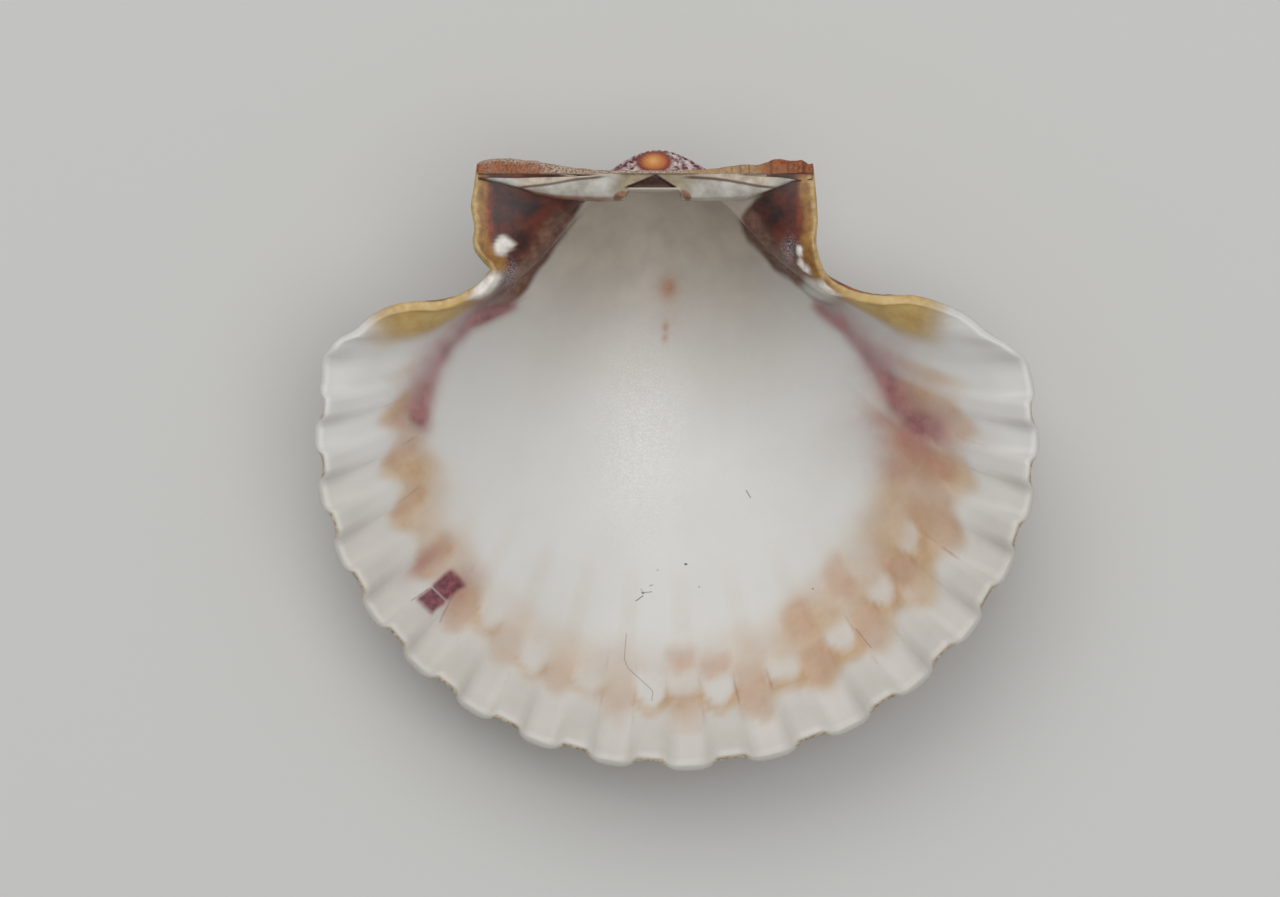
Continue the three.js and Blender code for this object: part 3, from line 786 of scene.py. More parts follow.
@dataclass
class HingePlate:
    """The hinge along the top: the rough outer band, a slit, and on each side of the ligament's pit
    two low lens-shaped teeth parted by a thin groove, ending in a brown foot."""

    marks: Markings
    stations: int = 300
    top_points: int = 52
    top: float = 1.3
    band_edge: Knots = ((-17.8, 1.2), (-17.2, 1.45), (-16.4, 1.6), (-14.6, 1.65), (-13.1, 1.45), (-12.2, 1.4),
                        (-10.8, 1.1), (-8.5, 0.7), (-4.9, 0.4), (3.5, 0.45), (5.9, 0.65), (8.3, 1.0),
                        (9.2, 1.0), (9.9, 0.95), (11.0, 1.25), (11.6, 1.5), (12.3, 1.55), (13.1, 1.4),
                        (14.4, 1.45), (14.9, 1.2), (15.5, 0.6))
    plate_edge: Knots = ((-17.8, -0.5), (-15.7, -0.85), (-14.2, -1.25), (-13.3, -1.5), (-12.1, -1.95),
                         (-10.1, -2.3), (-8.2, -2.45), (-5.7, -2.55), (-4.5, -2.45), (-3.2, -2.35),
                         (-2.9, -1.6), (2.2, -1.6), (2.5, -2.4), (5, -2.5), (9, -2.4), (10.4, -1.9),
                         (12, -1.3), (13.4, -0.75), (15.5, -0.5))
    slit_width: Knots = ((-17.6, 0.36), (-14, 0.42), (-10, 0.28), (-7.0, 0.14), (-5.6, 0.0), (7.5, 0.0),
                         (10.0, 0.18), (12.5, 0.36), (13.6, 0.6), (14.6, 0.75), (15.5, 0.5))
    left_groove: Knots = ((-14.4, -1.42), (-12.6, -1.22), (-10.8, -1.02), (-9.4, -0.75), (-7.8, -0.48),
                          (-6.0, -0.32), (-4.4, -0.22))
    right_groove: Knots = ((2.2, -0.24), (5.3, -0.42), (7.0, -0.62), (8.7, -0.92), (10.2, -1.22), (11.6, -1.36),
                           (12.8, -1.2))
    pit: tuple[tuple[float, float], ...] = ((-0.1, 0.12), (-3.5, -1.35), (2.1, -1.35))

    def band(self, x: Array, y: Array) -> Array:
        """1 on the rough band behind the slit."""
        return smooth(0.0, 0.1, y - 0.02)

    def slit(self, x: Array, y: Array) -> Array:
        """1 in the slit, which is straight and narrows to nothing at its inner ends."""
        half = table(self.slit_width, x) / 2
        return smooth(half + 0.03, half - 0.07, np.abs(y + 0.02 + half * 0.6)) * smooth(0, 0.05, half)

    def groove(self, x: Array, y: Array) -> Array:
        """1 along the thin line between the two teeth of either side."""
        total = np.zeros_like(x)
        for knots in (self.left_groove, self.right_groove):
            gap, along = off_line(x, y, knots)
            line = smooth(0.17, 0.03, np.abs(gap)) * smooth(0, 0.12, along) * smooth(1, 0.8, along)
            total = np.maximum(total, line)
        return total

    def in_pit(self, x: Array, y: Array) -> Array:
        """1 inside the ligament's pit, a triangle with its point at the beak."""
        (px, py), (ax, ay), (bx, by) = self.pit
        left = ((y - py) * (ax - px) - (x - px) * (ay - py)) / math.hypot(ax - px, ay - py)
        right = ((x - px) * (by - py) - (y - py) * (bx - px)) / math.hypot(bx - px, by - py)
        bottom = y - ay
        return smooth(0.02, 0.14, np.minimum(np.minimum(left, right), bottom))

    def height(self, x: Array, y: Array) -> Array:
        """Height of the plate's face over the margin plane.

        It is level, with a rough band at the back, cut by the slit, the grooves and the pit, and each
        tooth swells a little along its middle.
        """
        rough = 0.07 * drift(x, y, 0.5, 61) + 0.05 * drift(x * 2.2, y * 0.6, 0.5, 67)
        front = table(self.plate_edge, x)
        share = np.clip(y / front, 0, 1.2)
        swell = 0.16 * np.sin(np.pi * np.clip((share - 0.25) / 0.75, 0, 1)) * smooth(2.5, 5, np.abs(x))
        level = self.top + rough * self.band(x, y) + swell * (1 - self.band(x, y))
        level = level - 0.55 * self.slit(x, y) - 0.16 * self.groove(x, y)
        level = level - 0.25 * smooth(0.12, 0.0, y) * smooth(4.2, 2.8, np.abs(x)) * smooth(-1.2, 0, y)
        floor = mix(0.45, 0.85, smooth(-1.2, 0, y))
        return mix(level, floor, self.in_pit(x, y))

    def build(self) -> Surface:
        """Carries the plate's closed section along the hinge line.

        Returns:
            The plate as a closed surface in the margin frame, in mm, with its marks.
        """
        x = np.linspace(-17.8, 15.5, self.stations)[:, None]
        back = table(self.band_edge, x) + 0.06 * drift(x, 0 * x, 0.7, 71)
        front = table(self.plate_edge, x)
        foot = mix(-1.6, 0.35, smooth(4, 9, np.abs(x)))
        k = np.linspace(0, 1, self.top_points)[None, :]
        top_y = mix(back - 0.12, front, k)
        top_z = self.height(x + 0 * k, top_y) - 0.35 * smooth(0.93, 1.0, k) ** 2 - 0.18 * smooth(0.05, 0, k)
        under = [front * 1.02, front * 1.03, front, 0.1 + 0 * x]
        ring_y = np.concatenate([back - 0.1, back, back, top_y, *under], 1)
        low = top_z[:, -1:]
        behind = [0.05 + 0 * x, 0.35 + 0 * x, 0.9 + 0 * x]
        ring_z = np.concatenate([*behind, top_z, low - 0.25, low - 0.6, foot, foot], 1)
        ring_x = np.broadcast_to(x, ring_y.shape)
        grid = np.stack([ring_x, ring_y, ring_z], axis=-1)
        columns, rings = ring_y.shape
        index = np.arange(columns * rings).reshape(columns, rings)
        turn = np.roll(index, -1, axis=1)
        quads = np.stack([index[:-1], turn[:-1], turn[1:], index[1:]], axis=-1).reshape(-1, 4)
        fans = []
        for column, forward in ((0, False), (columns - 1, True)):
            loop = index[column] if forward else index[column, ::-1]
            hub = columns * rings + (1 if forward else 0)
            fans.append(np.stack([np.full(rings, hub), loop, np.roll(loop, -1)], axis=-1))
        hubs = grid[[0, -1]].mean(axis=1)
        points = np.vstack([grid.reshape(-1, 3), hubs])
        triangles = np.concatenate(fans)
        values = self.values(points)
        finish = np.full(len(quads) + len(triangles), Finish.INSIDE.value)
        return Surface(points, quads, triangles, values, finish)

    def values(self, points: Array) -> dict[str, Array]:
        """The named values of the plate's points: the wall's marks, with the hinge's own over them."""
        x, y = points.T[:2]
        edge = np.full_like(x, 5.0)
        values = mark_values(self.marks, x, y, edge, np.zeros_like(x))
        band = self.band(x, y)
        front = table(self.plate_edge, x)
        teeth = (1 - band) * smooth(1.02, 0.9, y / front) * smooth(2.2, 3.2, np.abs(x))
        teeth = teeth * smooth(-17.4, -15.6, x) * smooth(14.2, 12.6, x)
        for key in ("ear", "rose", "tan", "blush", "brown", "ochre", "callus_and_glint"):
            values[key] = values[key] * (1 - teeth) * (1 - band)
        foot = np.maximum(
            spot(x, y, (-3.7, -2.1), (0.85, 0.42), 26), spot(x, y, (2.85, -2.05), (0.75, 0.42), -40)
        )
        pit = self.in_pit(x, y)
        ledge = smooth(-1.15, -1.35, y) * smooth(2.9, 2.3, np.abs(x + 0.3))
        upper = np.zeros_like(x)
        for knots in (self.left_groove, self.right_groove):
            gap, along = off_line(x, y, knots)
            upper = np.maximum(upper, smooth(-0.05, 0.15, gap) * smooth(0, 0.15, along) * smooth(1, 0.7, along))
        rusty = 0.85 * smooth(-8.5, -14.0, x) * smooth(1.55, 0.85, y) + 0.9 * smooth(8.5, 12.0, x)
        tick = smooth(0.62, 0.8, cloud(x, 0 * x, 0.28, 79)) * smooth(6, 9, x)
        hem = smooth(0.8, 0.95, y / front) * smooth(-3.5, -6, x) * smooth(-15, -12, x)
        values.update(
            rib=np.zeros_like(x),
            growth=np.ones_like(x),
            inside=np.ones_like(x),
            edge=edge,
            band=band,
            tan_band=band * smooth(1.5, 4, x) * 0.8,
            rusty=band * np.clip(rusty + 0.2 * drift(x, y, 1.1, 73), 0, 1),
            tick=band * tick,
            teeth=teeth,
            upper_tooth=teeth * upper,
            amber=(1 - band) * smooth(5.0, 2.4, np.abs(x + 0.4)) * smooth(-2.4, -1.2, y) * (1 - pit) * (1 - ledge),
            hem=hem,
            # painted shade over the whole plate, with the same grey-beige tint
            shade=np.ones_like(x),
            # painted shadow in the slit and in the ligament's pit, over the pit's brown stain
            stain=np.clip(self.slit(x, y) + pit, 0, 1),
            line=self.groove(x, y),
            foot=smooth(0.35, 0.6, foot),
        )
        return values


@dataclass
class ScallopValve:
    """The whole valve: the wall and the hinge plate grown into it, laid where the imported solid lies."""

    growth: Growth = field(default_factory=Growth)
    marks: Markings = field(default_factory=Markings)
    rest_tilt: float = 9.0
    low_point: float = -0.2
    shift: Array = field(default_factory=lambda: np.zeros(3))

    def build(self) -> list[bpy.types.Object]:
        """Builds the wall and the hinge plate and lays both down together.

        Returns:
            The finished objects, at the origin, unturned and unscaled, in metres.
        """
        wall = ValveWall(self.growth, self.marks).build()
        plate = HingePlate(self.marks).build()
        for key in plate.values.keys() - wall.values.keys():
            wall.values[key] = np.zeros(len(wall.points))
        tilt = np.array(Matrix.Rotation(math.radians(self.rest_tilt), 3, "X"))
        laid = [surface.points @ tilt.T for surface in (wall, plate)]
        every = np.vstack(laid)
        middle = (every.min(axis=0) + every.max(axis=0)) / 2
        packed = (np.array(CAD_LOW) + np.array(CAD_HIGH)) / 2
        self.shift = np.append(packed[:2] / MM - middle[:2], self.low_point - every[:, 2].min())
        made = []
        for surface, points, name in zip((wall, plate), laid, ("valve_wall", "hinge_plate")):
            points = points + self.shift
            points[:, 2] = np.maximum(points[:, 2], 0)
            surface.points = points * MM
            made.append(surface.to_object(name))
        return made

    def to_world(self, x: float, y: float, z: float) -> Vector:
        """Where a point of the margin frame, in mm, lies once the valve is laid down, in metres."""
        turned = Matrix.Rotation(math.radians(self.rest_tilt), 3, "X") @ Vector((x, y, z))
        return (turned + Vector(self.shift)) * MM


Setting = float | str | bool | tuple | bpy.types.NodeSocket


def add(
    tree: bpy.types.NodeTree,
    kind: str,
    options: dict[str, Setting] | None = None,
    inputs: dict[str | int, Setting] | None = None,
) -> bpy.types.Node:
    """Adds one node to a tree.

    Args:
        tree: the node tree.
        kind: the node's type without its "ShaderNode" prefix.
        options: properties of the node itself.
        inputs: for each input, by name or number, the socket to link or the value to set.

    Returns:
        The new node.
    """
    node = tree.nodes.new("ShaderNode" + kind)
    for key, value in (options or {}).items():
        setattr(node, key, value)
    for key, value in (inputs or {}).items():
        if isinstance(value, bpy.types.NodeSocket):
            tree.links.new(value, node.inputs[key])
        else:
            node.inputs[key].default_value = value
    return node


@dataclass(frozen=True)
class Layer:
    """One colour laid over those before it, where the vertex value named mask says.

    Attributes:
        mask: name of the vertex value.
        dark, light: the two colours that the layer is mottled with.
        strength: how much it covers at most.
        wander: how much fine noise breaks up its edge.
        grain: size of the mottling, in mm.
    """

    mask: str
    dark: str
    light: str
    strength: float = 1.0
    wander: float = 0.3
    grain: float = 1.0


@dataclass(frozen=True)
class PorcelainCalcite:
    """Inside of the valve: calcite laid down in smooth layers, like the glaze of old porcelain.

    To the eye it is milky white with a soft, wide gloss, slightly see-through, with the finest
    ridges and pits catching the light, and stained from the ears towards the middle.
    """

    white: str = "#d9d7d3"
    milk: str = "#cbc8c2"
    cloud_mm: float = 9.0
    grain_mm: float = 0.35
    ripple_mm: float = 2.6
    grit_mm: float = 0.22
    roughness: float = 0.4
    coat: float = 0.16
    coat_roughness: float = 0.3
    depth_mm: float = 0.9
    plum_place: tuple[float, float] = (-23.8, -13.0)
    plum_turn: float = 46.0
    layers: tuple[Layer, ...] = (
        Layer("speck", "#dedbd6", "#f4f2ee", 0.6, 0.9, 0.22),
        Layer("warm", "#ad9d84", "#bdb09a", 0.3, 0.2, 4.0),
        Layer("ray", "#b9aa9a", "#c8bbab", 0.2, 0.5, 1.5),
        # painted shade towards the hinge, partly the shell's own grey-beige tint
        Layer("shade", "#9d8f7c", "#b5a793", 0.8, 0.1, 5.0),
        Layer("tan", "#b08c62", "#c4a37c", 0.95, 0.1, 3.5),
        Layer("blush", "#ab8060", "#c0987a", 0.95, 0.15, 2.2),
        Layer("rose", "#7c4448", "#a5696a", 0.9, 0.3, 1.8),
        # painted shade in the rib grooves, with a brown tint
        Layer("brown_shaded_crease", "#8a5a44", "#a2705a", 0.55, 0.6, 0.9),
        Layer("brown", "#9a6444", "#b9886a", 1.0, 0.4, 0.6),
        Layer("plum", "#5c2632", "#8a474f", 0.95, 0.05, 0.6),
        Layer("ear", "#220601", "#64240c", 1.0, 0.3, 2.4),
        Layer("taupe", "#64402f", "#866450", 0.9, 0.45, 1.0),
        Layer("rust", "#7a2c0c", "#a04c1c", 1.0, 0.2, 0.9),
        Layer("ochre", "#7b4f1c", "#a27634", 1.0, 0.2, 1.4),
        Layer("mustard", "#bd9a58", "#cdb06f", 1.0, 0.15, 2.0),
        Layer("brim", "#b3935a", "#cdb37f", 0.8, 0.5, 0.7),
        # white callus, with painted highlights on the small beads at the right ear
        Layer("callus_and_glint", "#d8d1c4", "#eee9df", 1.0, 0.05, 0.9),
        Layer("notch", "#7d6143", "#d3c29f", 0.9, 0.4, 0.5),
        Layer("sparkle", "#8f828c", "#d9d3d6", 0.9, 1.0, 0.16),
        Layer("teeth", "#8f887b", "#b9b5ac", 0.97, 0.1, 2.2),
        Layer("upper_tooth", "#a08a72", "#cbbca8", 0.8, 0.3, 1.2),
        Layer("amber", "#6f5c3c", "#978560", 0.85, 0.3, 0.9),
        Layer("hem", "#6b3a26", "#8d5a3c", 0.75, 0.3, 0.8),
        Layer("band", "#6e4633", "#cbb9a3", 1.0, 0.1, 0.2),
        Layer("tan_band", "#93704c", "#b8945f", 0.9, 0.5, 0.5),
        Layer("rusty", "#6d2d10", "#a8602c", 0.95, 0.8, 0.35),
        Layer("tick", "#55210f", "#7a3a1c", 0.8, 0.5, 0.3),
        Layer("foot", "#5d3216", "#8e5c34", 1.0, 0.2, 0.4),
        Layer("line", "#43281c", "#5d3a28", 0.85, 0.2, 0.4),
        # painted shadow in the slit and the pit, partly a brown stain
        Layer("stain", "#260f09", "#562c17", 1.0, 0.1, 0.3),
        Layer("crack", "#7a4028", "#98603f", 0.8, 0.5, 0.5),
        Layer("dirt", "#2b2923", "#48443b", 1.0, 0.0, 0.4),
    )
    crumbs: tuple[Stroke, ...] = (
        Stroke((3.0, -39.3), (3.1, -39.3), 0.11, 0.9),
        Stroke((0.1, -39.9), (0.15, -39.9), 0.07, 0.5),
        Stroke((4.4, -41.6), (4.45, -41.6), 0.08, 0.5),
        Stroke((16.0, -41.7), (16.05, -41.7), 0.09, 0.6),
        Stroke((9.4, -31.7), (9.8, -32.4), 0.07, 0.6),
        Stroke((-0.7, -41.5), (-0.4, -41.4), 0.05, 0.6),
        Stroke((-1.45, -42.2), (-1.35, -42.2), 0.11, 0.8),
        Stroke((-1.4, -42.2), (-0.5, -42.1), 0.05, 0.6),
        Stroke((-1.4, -42.2), (-1.6, -41.8), 0.04, 0.5),
        Stroke((-1.4, -42.5), (-2.1, -43.0), 0.06, 0.7),
    )
    hair: tuple[tuple[float, float], ...] = (
        (-3.1, -46.3), (-3.3, -48.8), (-2.9, -49.7), (-0.7, -51.6), (-0.4, -51.9), (-0.5, -52.8),
    )
    hair_strength: float = 0.42
    cracks: tuple[Stroke, ...] = (
        Stroke((-20.3, -41.4), (-21.9, -44.8), 0.1, 0.4),
        Stroke((-23.1, -41.5), (-24.7, -42.6), 0.08, 0.45),
        Stroke((20.2, -45.6), (21.6, -47.4), 0.06, 0.7),
    )

    def build(self) -> bpy.types.Material:
        """Mixes the layers in order over the two whites, and adds the gloss and the fine relief."""
        material = bpy.data.materials.new("porcelain_calcite_inside")
        material.use_nodes = True
        tree = material.node_tree
        tree.nodes.clear()
        place = add(tree, "TexCoord").outputs["Object"]
        in_mm = add(tree, "Mapping", {"vector_type": "POINT"}, {"Vector": place, "Scale": (1000, 1000, 1000)})
        place = in_mm.outputs["Vector"]

        clouds = add(tree, "TexNoise", None, {"Vector": place, "Scale": 1 / self.cloud_mm, "Detail": 4})
        base = add(tree, "Mix", {"data_type": "RGBA"},
                   {0: clouds.outputs["Fac"], 6: linear(self.white), 7: linear(self.milk)})
        colour = self.lay_over(tree, place, base.outputs[2])

        band = add(tree, "Attribute", {"attribute_name": "band"}).outputs["Fac"]
        frost = add(tree, "Attribute", {"attribute_name": "frost"}).outputs["Fac"]
        fine, broad, grit = (
            add(tree, "TexNoise", None, {"Vector": place, "Scale": 1 / grain, "Detail": 3}).outputs["Fac"]
            for grain in (self.grain_mm, self.ripple_mm, self.grit_mm)
        )
        uneven = add(tree, "Math", {"operation": "MULTIPLY_ADD"}, {0: frost, 1: 4.0, 2: 0.22})
        height = add(tree, "Math", {"operation": "MULTIPLY"}, {0: fine, 1: uneven.outputs[0]})
        height = add(tree, "Math", {"operation": "MULTIPLY_ADD"}, {0: broad, 1: 0.9, 2: height.outputs[0]})
        rough_band = add(tree, "Math", {"operation": "MULTIPLY"}, {0: band, 1: grit})
        height = add(tree, "Math", {"operation": "MULTIPLY_ADD"},
                     {0: rough_band.outputs[0], 1: 2.5, 2: height.outputs[0]})
        relief = add(tree, "Bump", None, {"Height": height.outputs[0], "Strength": 0.35, "Distance": 0.00012})
        dull = add(tree, "Math", {"operation": "MULTIPLY_ADD"}, {0: band, 1: 0.4, 2: self.roughness})
        dull = add(tree, "Math", {"operation": "MULTIPLY_ADD"}, {0: broad, 1: 0.12, 2: dull.outputs[0]})
        shader = add(tree, "BsdfPrincipled", None, {
            "Base Color": colour,
            "Roughness": dull.outputs[0],
            "IOR": 1.5,
            "Coat Weight": self.coat,
            "Coat Roughness": self.coat_roughness,
            "Subsurface Weight": 0.12,
            "Subsurface Radius": (1.0, 0.8, 0.65),
            "Subsurface Scale": self.depth_mm * MM,
            "Normal": relief.outputs["Normal"],
        })
        add(tree, "OutputMaterial", None, {"Surface": shader.outputs["BSDF"]})
        return material

    def lay_over(
        self, tree: bpy.types.NodeTree, place: bpy.types.NodeSocket, colour: bpy.types.NodeSocket
    ) -> bpy.types.NodeSocket:
        """Lays the coloured layers over a colour, in order.

        A layer's cover is its mask plus mask * (1 - mask) times noise, so that noise tears its edge
        and leaves full cover whole. Its tint is mottled between its two colours by the same noise.

        Args:
            tree: the material's node tree.
            place: object coordinates in mm.
            colour: the colour to lay them over.

        Returns:
            The resulting colour.
        """
        stretches = zip(self.hair[:-1], self.hair[1:])
        hair = tuple(Stroke(*ends, strength=self.hair_strength) for ends in stretches)
        masks = {
            "plum": self.plum_blocks(tree, place),
            "brown_shaded_crease": self.brown_shaded_creases(tree),
            "crack": self.strokes(tree, self.cracks),
            "dirt": self.strokes(tree, self.crumbs + hair),
        }
        for layer in self.layers:
            mottle = add(tree, "TexNoise", None,
                         {"Vector": place, "Scale": 1 / layer.grain, "Detail": 4, "Roughness": 0.62}).outputs["Fac"]
            spread = add(tree, "MapRange", None, {"Value": mottle, "From Min": 0.36, "From Max": 0.64})
            tint = add(tree, "Mix", {"data_type": "RGBA"},
                       {0: spread.outputs[0], 6: linear(layer.dark), 7: linear(layer.light)})
            mask = masks.get(layer.mask)
            if mask is None:
                mask = add(tree, "Attribute", {"attribute_name": layer.mask}).outputs["Fac"]
            rest = add(tree, "Math", {"operation": "SUBTRACT"}, {0: 1.0, 1: mask})
            slack = add(tree, "Math", {"operation": "MULTIPLY"}, {0: mask, 1: rest.outputs[0]})
            torn = add(tree, "Math", {"operation": "MULTIPLY_ADD"},
                       {0: mottle, 1: 10 * layer.wander, 2: -5 * layer.wander})
            cover = add(tree, "Math", {"operation": "MULTIPLY_ADD", "use_clamp": True},
                        {0: slack.outputs[0], 1: torn.outputs[0], 2: mask})
            cover = add(tree, "Math", {"operation": "MULTIPLY"}, {0: cover.outputs[0], 1: layer.strength})
            laid = add(tree, "Mix", {"data_type": "RGBA"},
                       {0: cover.outputs[0], 6: colour, 7: tint.outputs[2]})
            colour = laid.outputs[2]
        return colour

    def strokes(self, tree: bpy.types.NodeTree, drawn: tuple[Stroke, ...]) -> bpy.types.NodeSocket:
        """Draws strokes: each covers what lies within half its width of the line between its ends.

        The place is moved to the stroke's start and turned so that X runs to its end. What X goes past
        either end, together with Y, is then the distance to the stroke.

        Args:
            tree: the material's node tree.
            drawn: the strokes.

        Returns:
            The cover of all of them together, from 0 to 1.
        """
        plan = [add(tree, "Attribute", {"attribute_name": key}).outputs["Fac"] for key in ("plan_x", "plan_y")]
        place = add(tree, "CombineXYZ", None, {0: plan[0], 1: plan[1]}).outputs[0]
        total = None
        for stroke in drawn:
            dx, dy = stroke.end[0] - stroke.start[0], stroke.end[1] - stroke.start[1]
            turned = add(tree, "Mapping", {"vector_type": "TEXTURE"},
                         {"Vector": place, "Location": (*stroke.start, 0),
                          "Rotation": (0, 0, math.atan2(dy, dx))})
            split = add(tree, "SeparateXYZ", None, {0: turned.outputs[0]})
            held = add(tree, "Clamp", None,
                       {"Value": split.outputs[0], "Min": 0.0, "Max": math.hypot(dx, dy)})
            past = add(tree, "Math", {"operation": "SUBTRACT"}, {0: split.outputs[0], 1: held.outputs[0]})
            offset = add(tree, "CombineXYZ", None, {0: past.outputs[0], 1: split.outputs[1]})
            gap = add(tree, "VectorMath", {"operation": "LENGTH"}, {0: offset.outputs[0]})
            cover = add(tree, "MapRange", {"interpolation_type": "SMOOTHSTEP"},
                        {"Value": gap.outputs["Value"], "From Min": stroke.half_width + 0.04,
                         "From Max": stroke.half_width - 0.04, "To Max": stroke.strength}).outputs[0]
            if total is not None:
                cover = add(tree, "Math", {"operation": "MAXIMUM"}, {0: total, 1: cover}).outputs[0]
            total = cover
        return total

    def brown_shaded_creases(self, tree: bpy.types.NodeTree) -> bpy.types.NodeSocket:
        """Fine lines on both flanks of each rib, where twice the rib number is midway between whole numbers:
        painted shade in the grooves between the lobes, with a brown tint. White noise makes some strong and some
        faint."""
        rib = add(tree, "Attribute", {"attribute_name": "rib"}).outputs["Fac"]
        moved = add(tree, "Math", {"operation": "MULTIPLY_ADD"}, {0: rib, 1: 2.0, 2: 60.0})
        part = add(tree, "Math", {"operation": "FRACT"}, {0: moved.outputs[0]})
        gap = add(tree, "Math", {"operation": "SUBTRACT"}, {0: part.outputs[0], 1: 0.5})
        gap = add(tree, "Math", {"operation": "ABSOLUTE"}, {0: gap.outputs[0]})
        line = add(tree, "MapRange", {"interpolation_type": "SMOOTHSTEP"},
                   {"Value": gap.outputs[0], "From Min": 0.075, "From Max": 0.01})
        whole = add(tree, "Math", {"operation": "FLOOR"}, {0: moved.outputs[0]})
        chance = add(tree, "TexWhiteNoise", {"noise_dimensions": "1D"}, {"W": whole.outputs[0]})
        strong = add(tree, "Math", {"operation": "MULTIPLY"}, {0: line.outputs[0], 1: chance.outputs["Value"]})
        reach = add(tree, "Attribute", {"attribute_name": "brown_shaded_crease"}).outputs["Fac"]
        return add(tree, "Math", {"operation": "MULTIPLY"}, {0: strong.outputs[0], 1: reach}).outputs[0]

    def plum_blocks(self, tree: bpy.types.NodeTree, place: bpy.types.NodeSocket) -> bpy.types.NodeSocket:
        """Two dark blocks in line on one rib, parted by a thin pale line.

        The place is moved to the mark's middle and turned so that X runs along the rib. Each block is
        then a soft step in |X| and |Y|, in mm.

        Args:
            tree: the material's node tree.
            place: object coordinates in mm.

        Returns:
            The share of plum, from 0 to 1.
        """
        x, y = self.plum_place
        local = add(tree, "Mapping", {"vector_type": "TEXTURE"},
                    {"Vector": place, "Location": (x, y, 0), "Rotation": (0, 0, math.radians(self.plum_turn))})
        torn = add(tree, "TexNoise", None, {"Vector": place, "Scale": 0.5, "Detail": 2})
        split = add(tree, "SeparateXYZ", None, {0: local.outputs[0]})
        shift = add(tree, "Math", {"operation": "MULTIPLY_ADD"}, {0: torn.outputs["Fac"], 1: 0.7, 2: -0.35})
        share = None
        for side, low, high, offset in ((0, 2.75, 1.95, 0.0), (1, 1.35, 0.8, 0.0), (0, 0.03, 0.2, 0.35)):
            moved = add(tree, "Math", {"operation": "ADD"}, {0: split.outputs[side], 1: offset})
            if offset == 0:
                moved = add(tree, "Math", {"operation": "ADD"}, {0: moved.outputs[0], 1: shift.outputs[0]})
            size = add(tree, "Math", {"operation": "ABSOLUTE"}, {0: moved.outputs[0]})
            step = add(tree, "MapRange", {"interpolation_type": "SMOOTHSTEP"},
                       {"Value": size.outputs[0], "From Min": low, "From Max": high,
                        "To Min": 0.55 if offset else 0.0})
            if share is None:
                share = step.outputs[0]
            else:
                share = add(tree, "Math", {"operation": "MULTIPLY"}, {0: share, 1: step.outputs[0]}).outputs[0]
        inner = add(tree, "Attribute", {"attribute_name": "plum"}).outputs["Fac"]
        return add(tree, "Math", {"operation": "MULTIPLY", "use_clamp": True}, {0: share, 1: inner}).outputs[0]


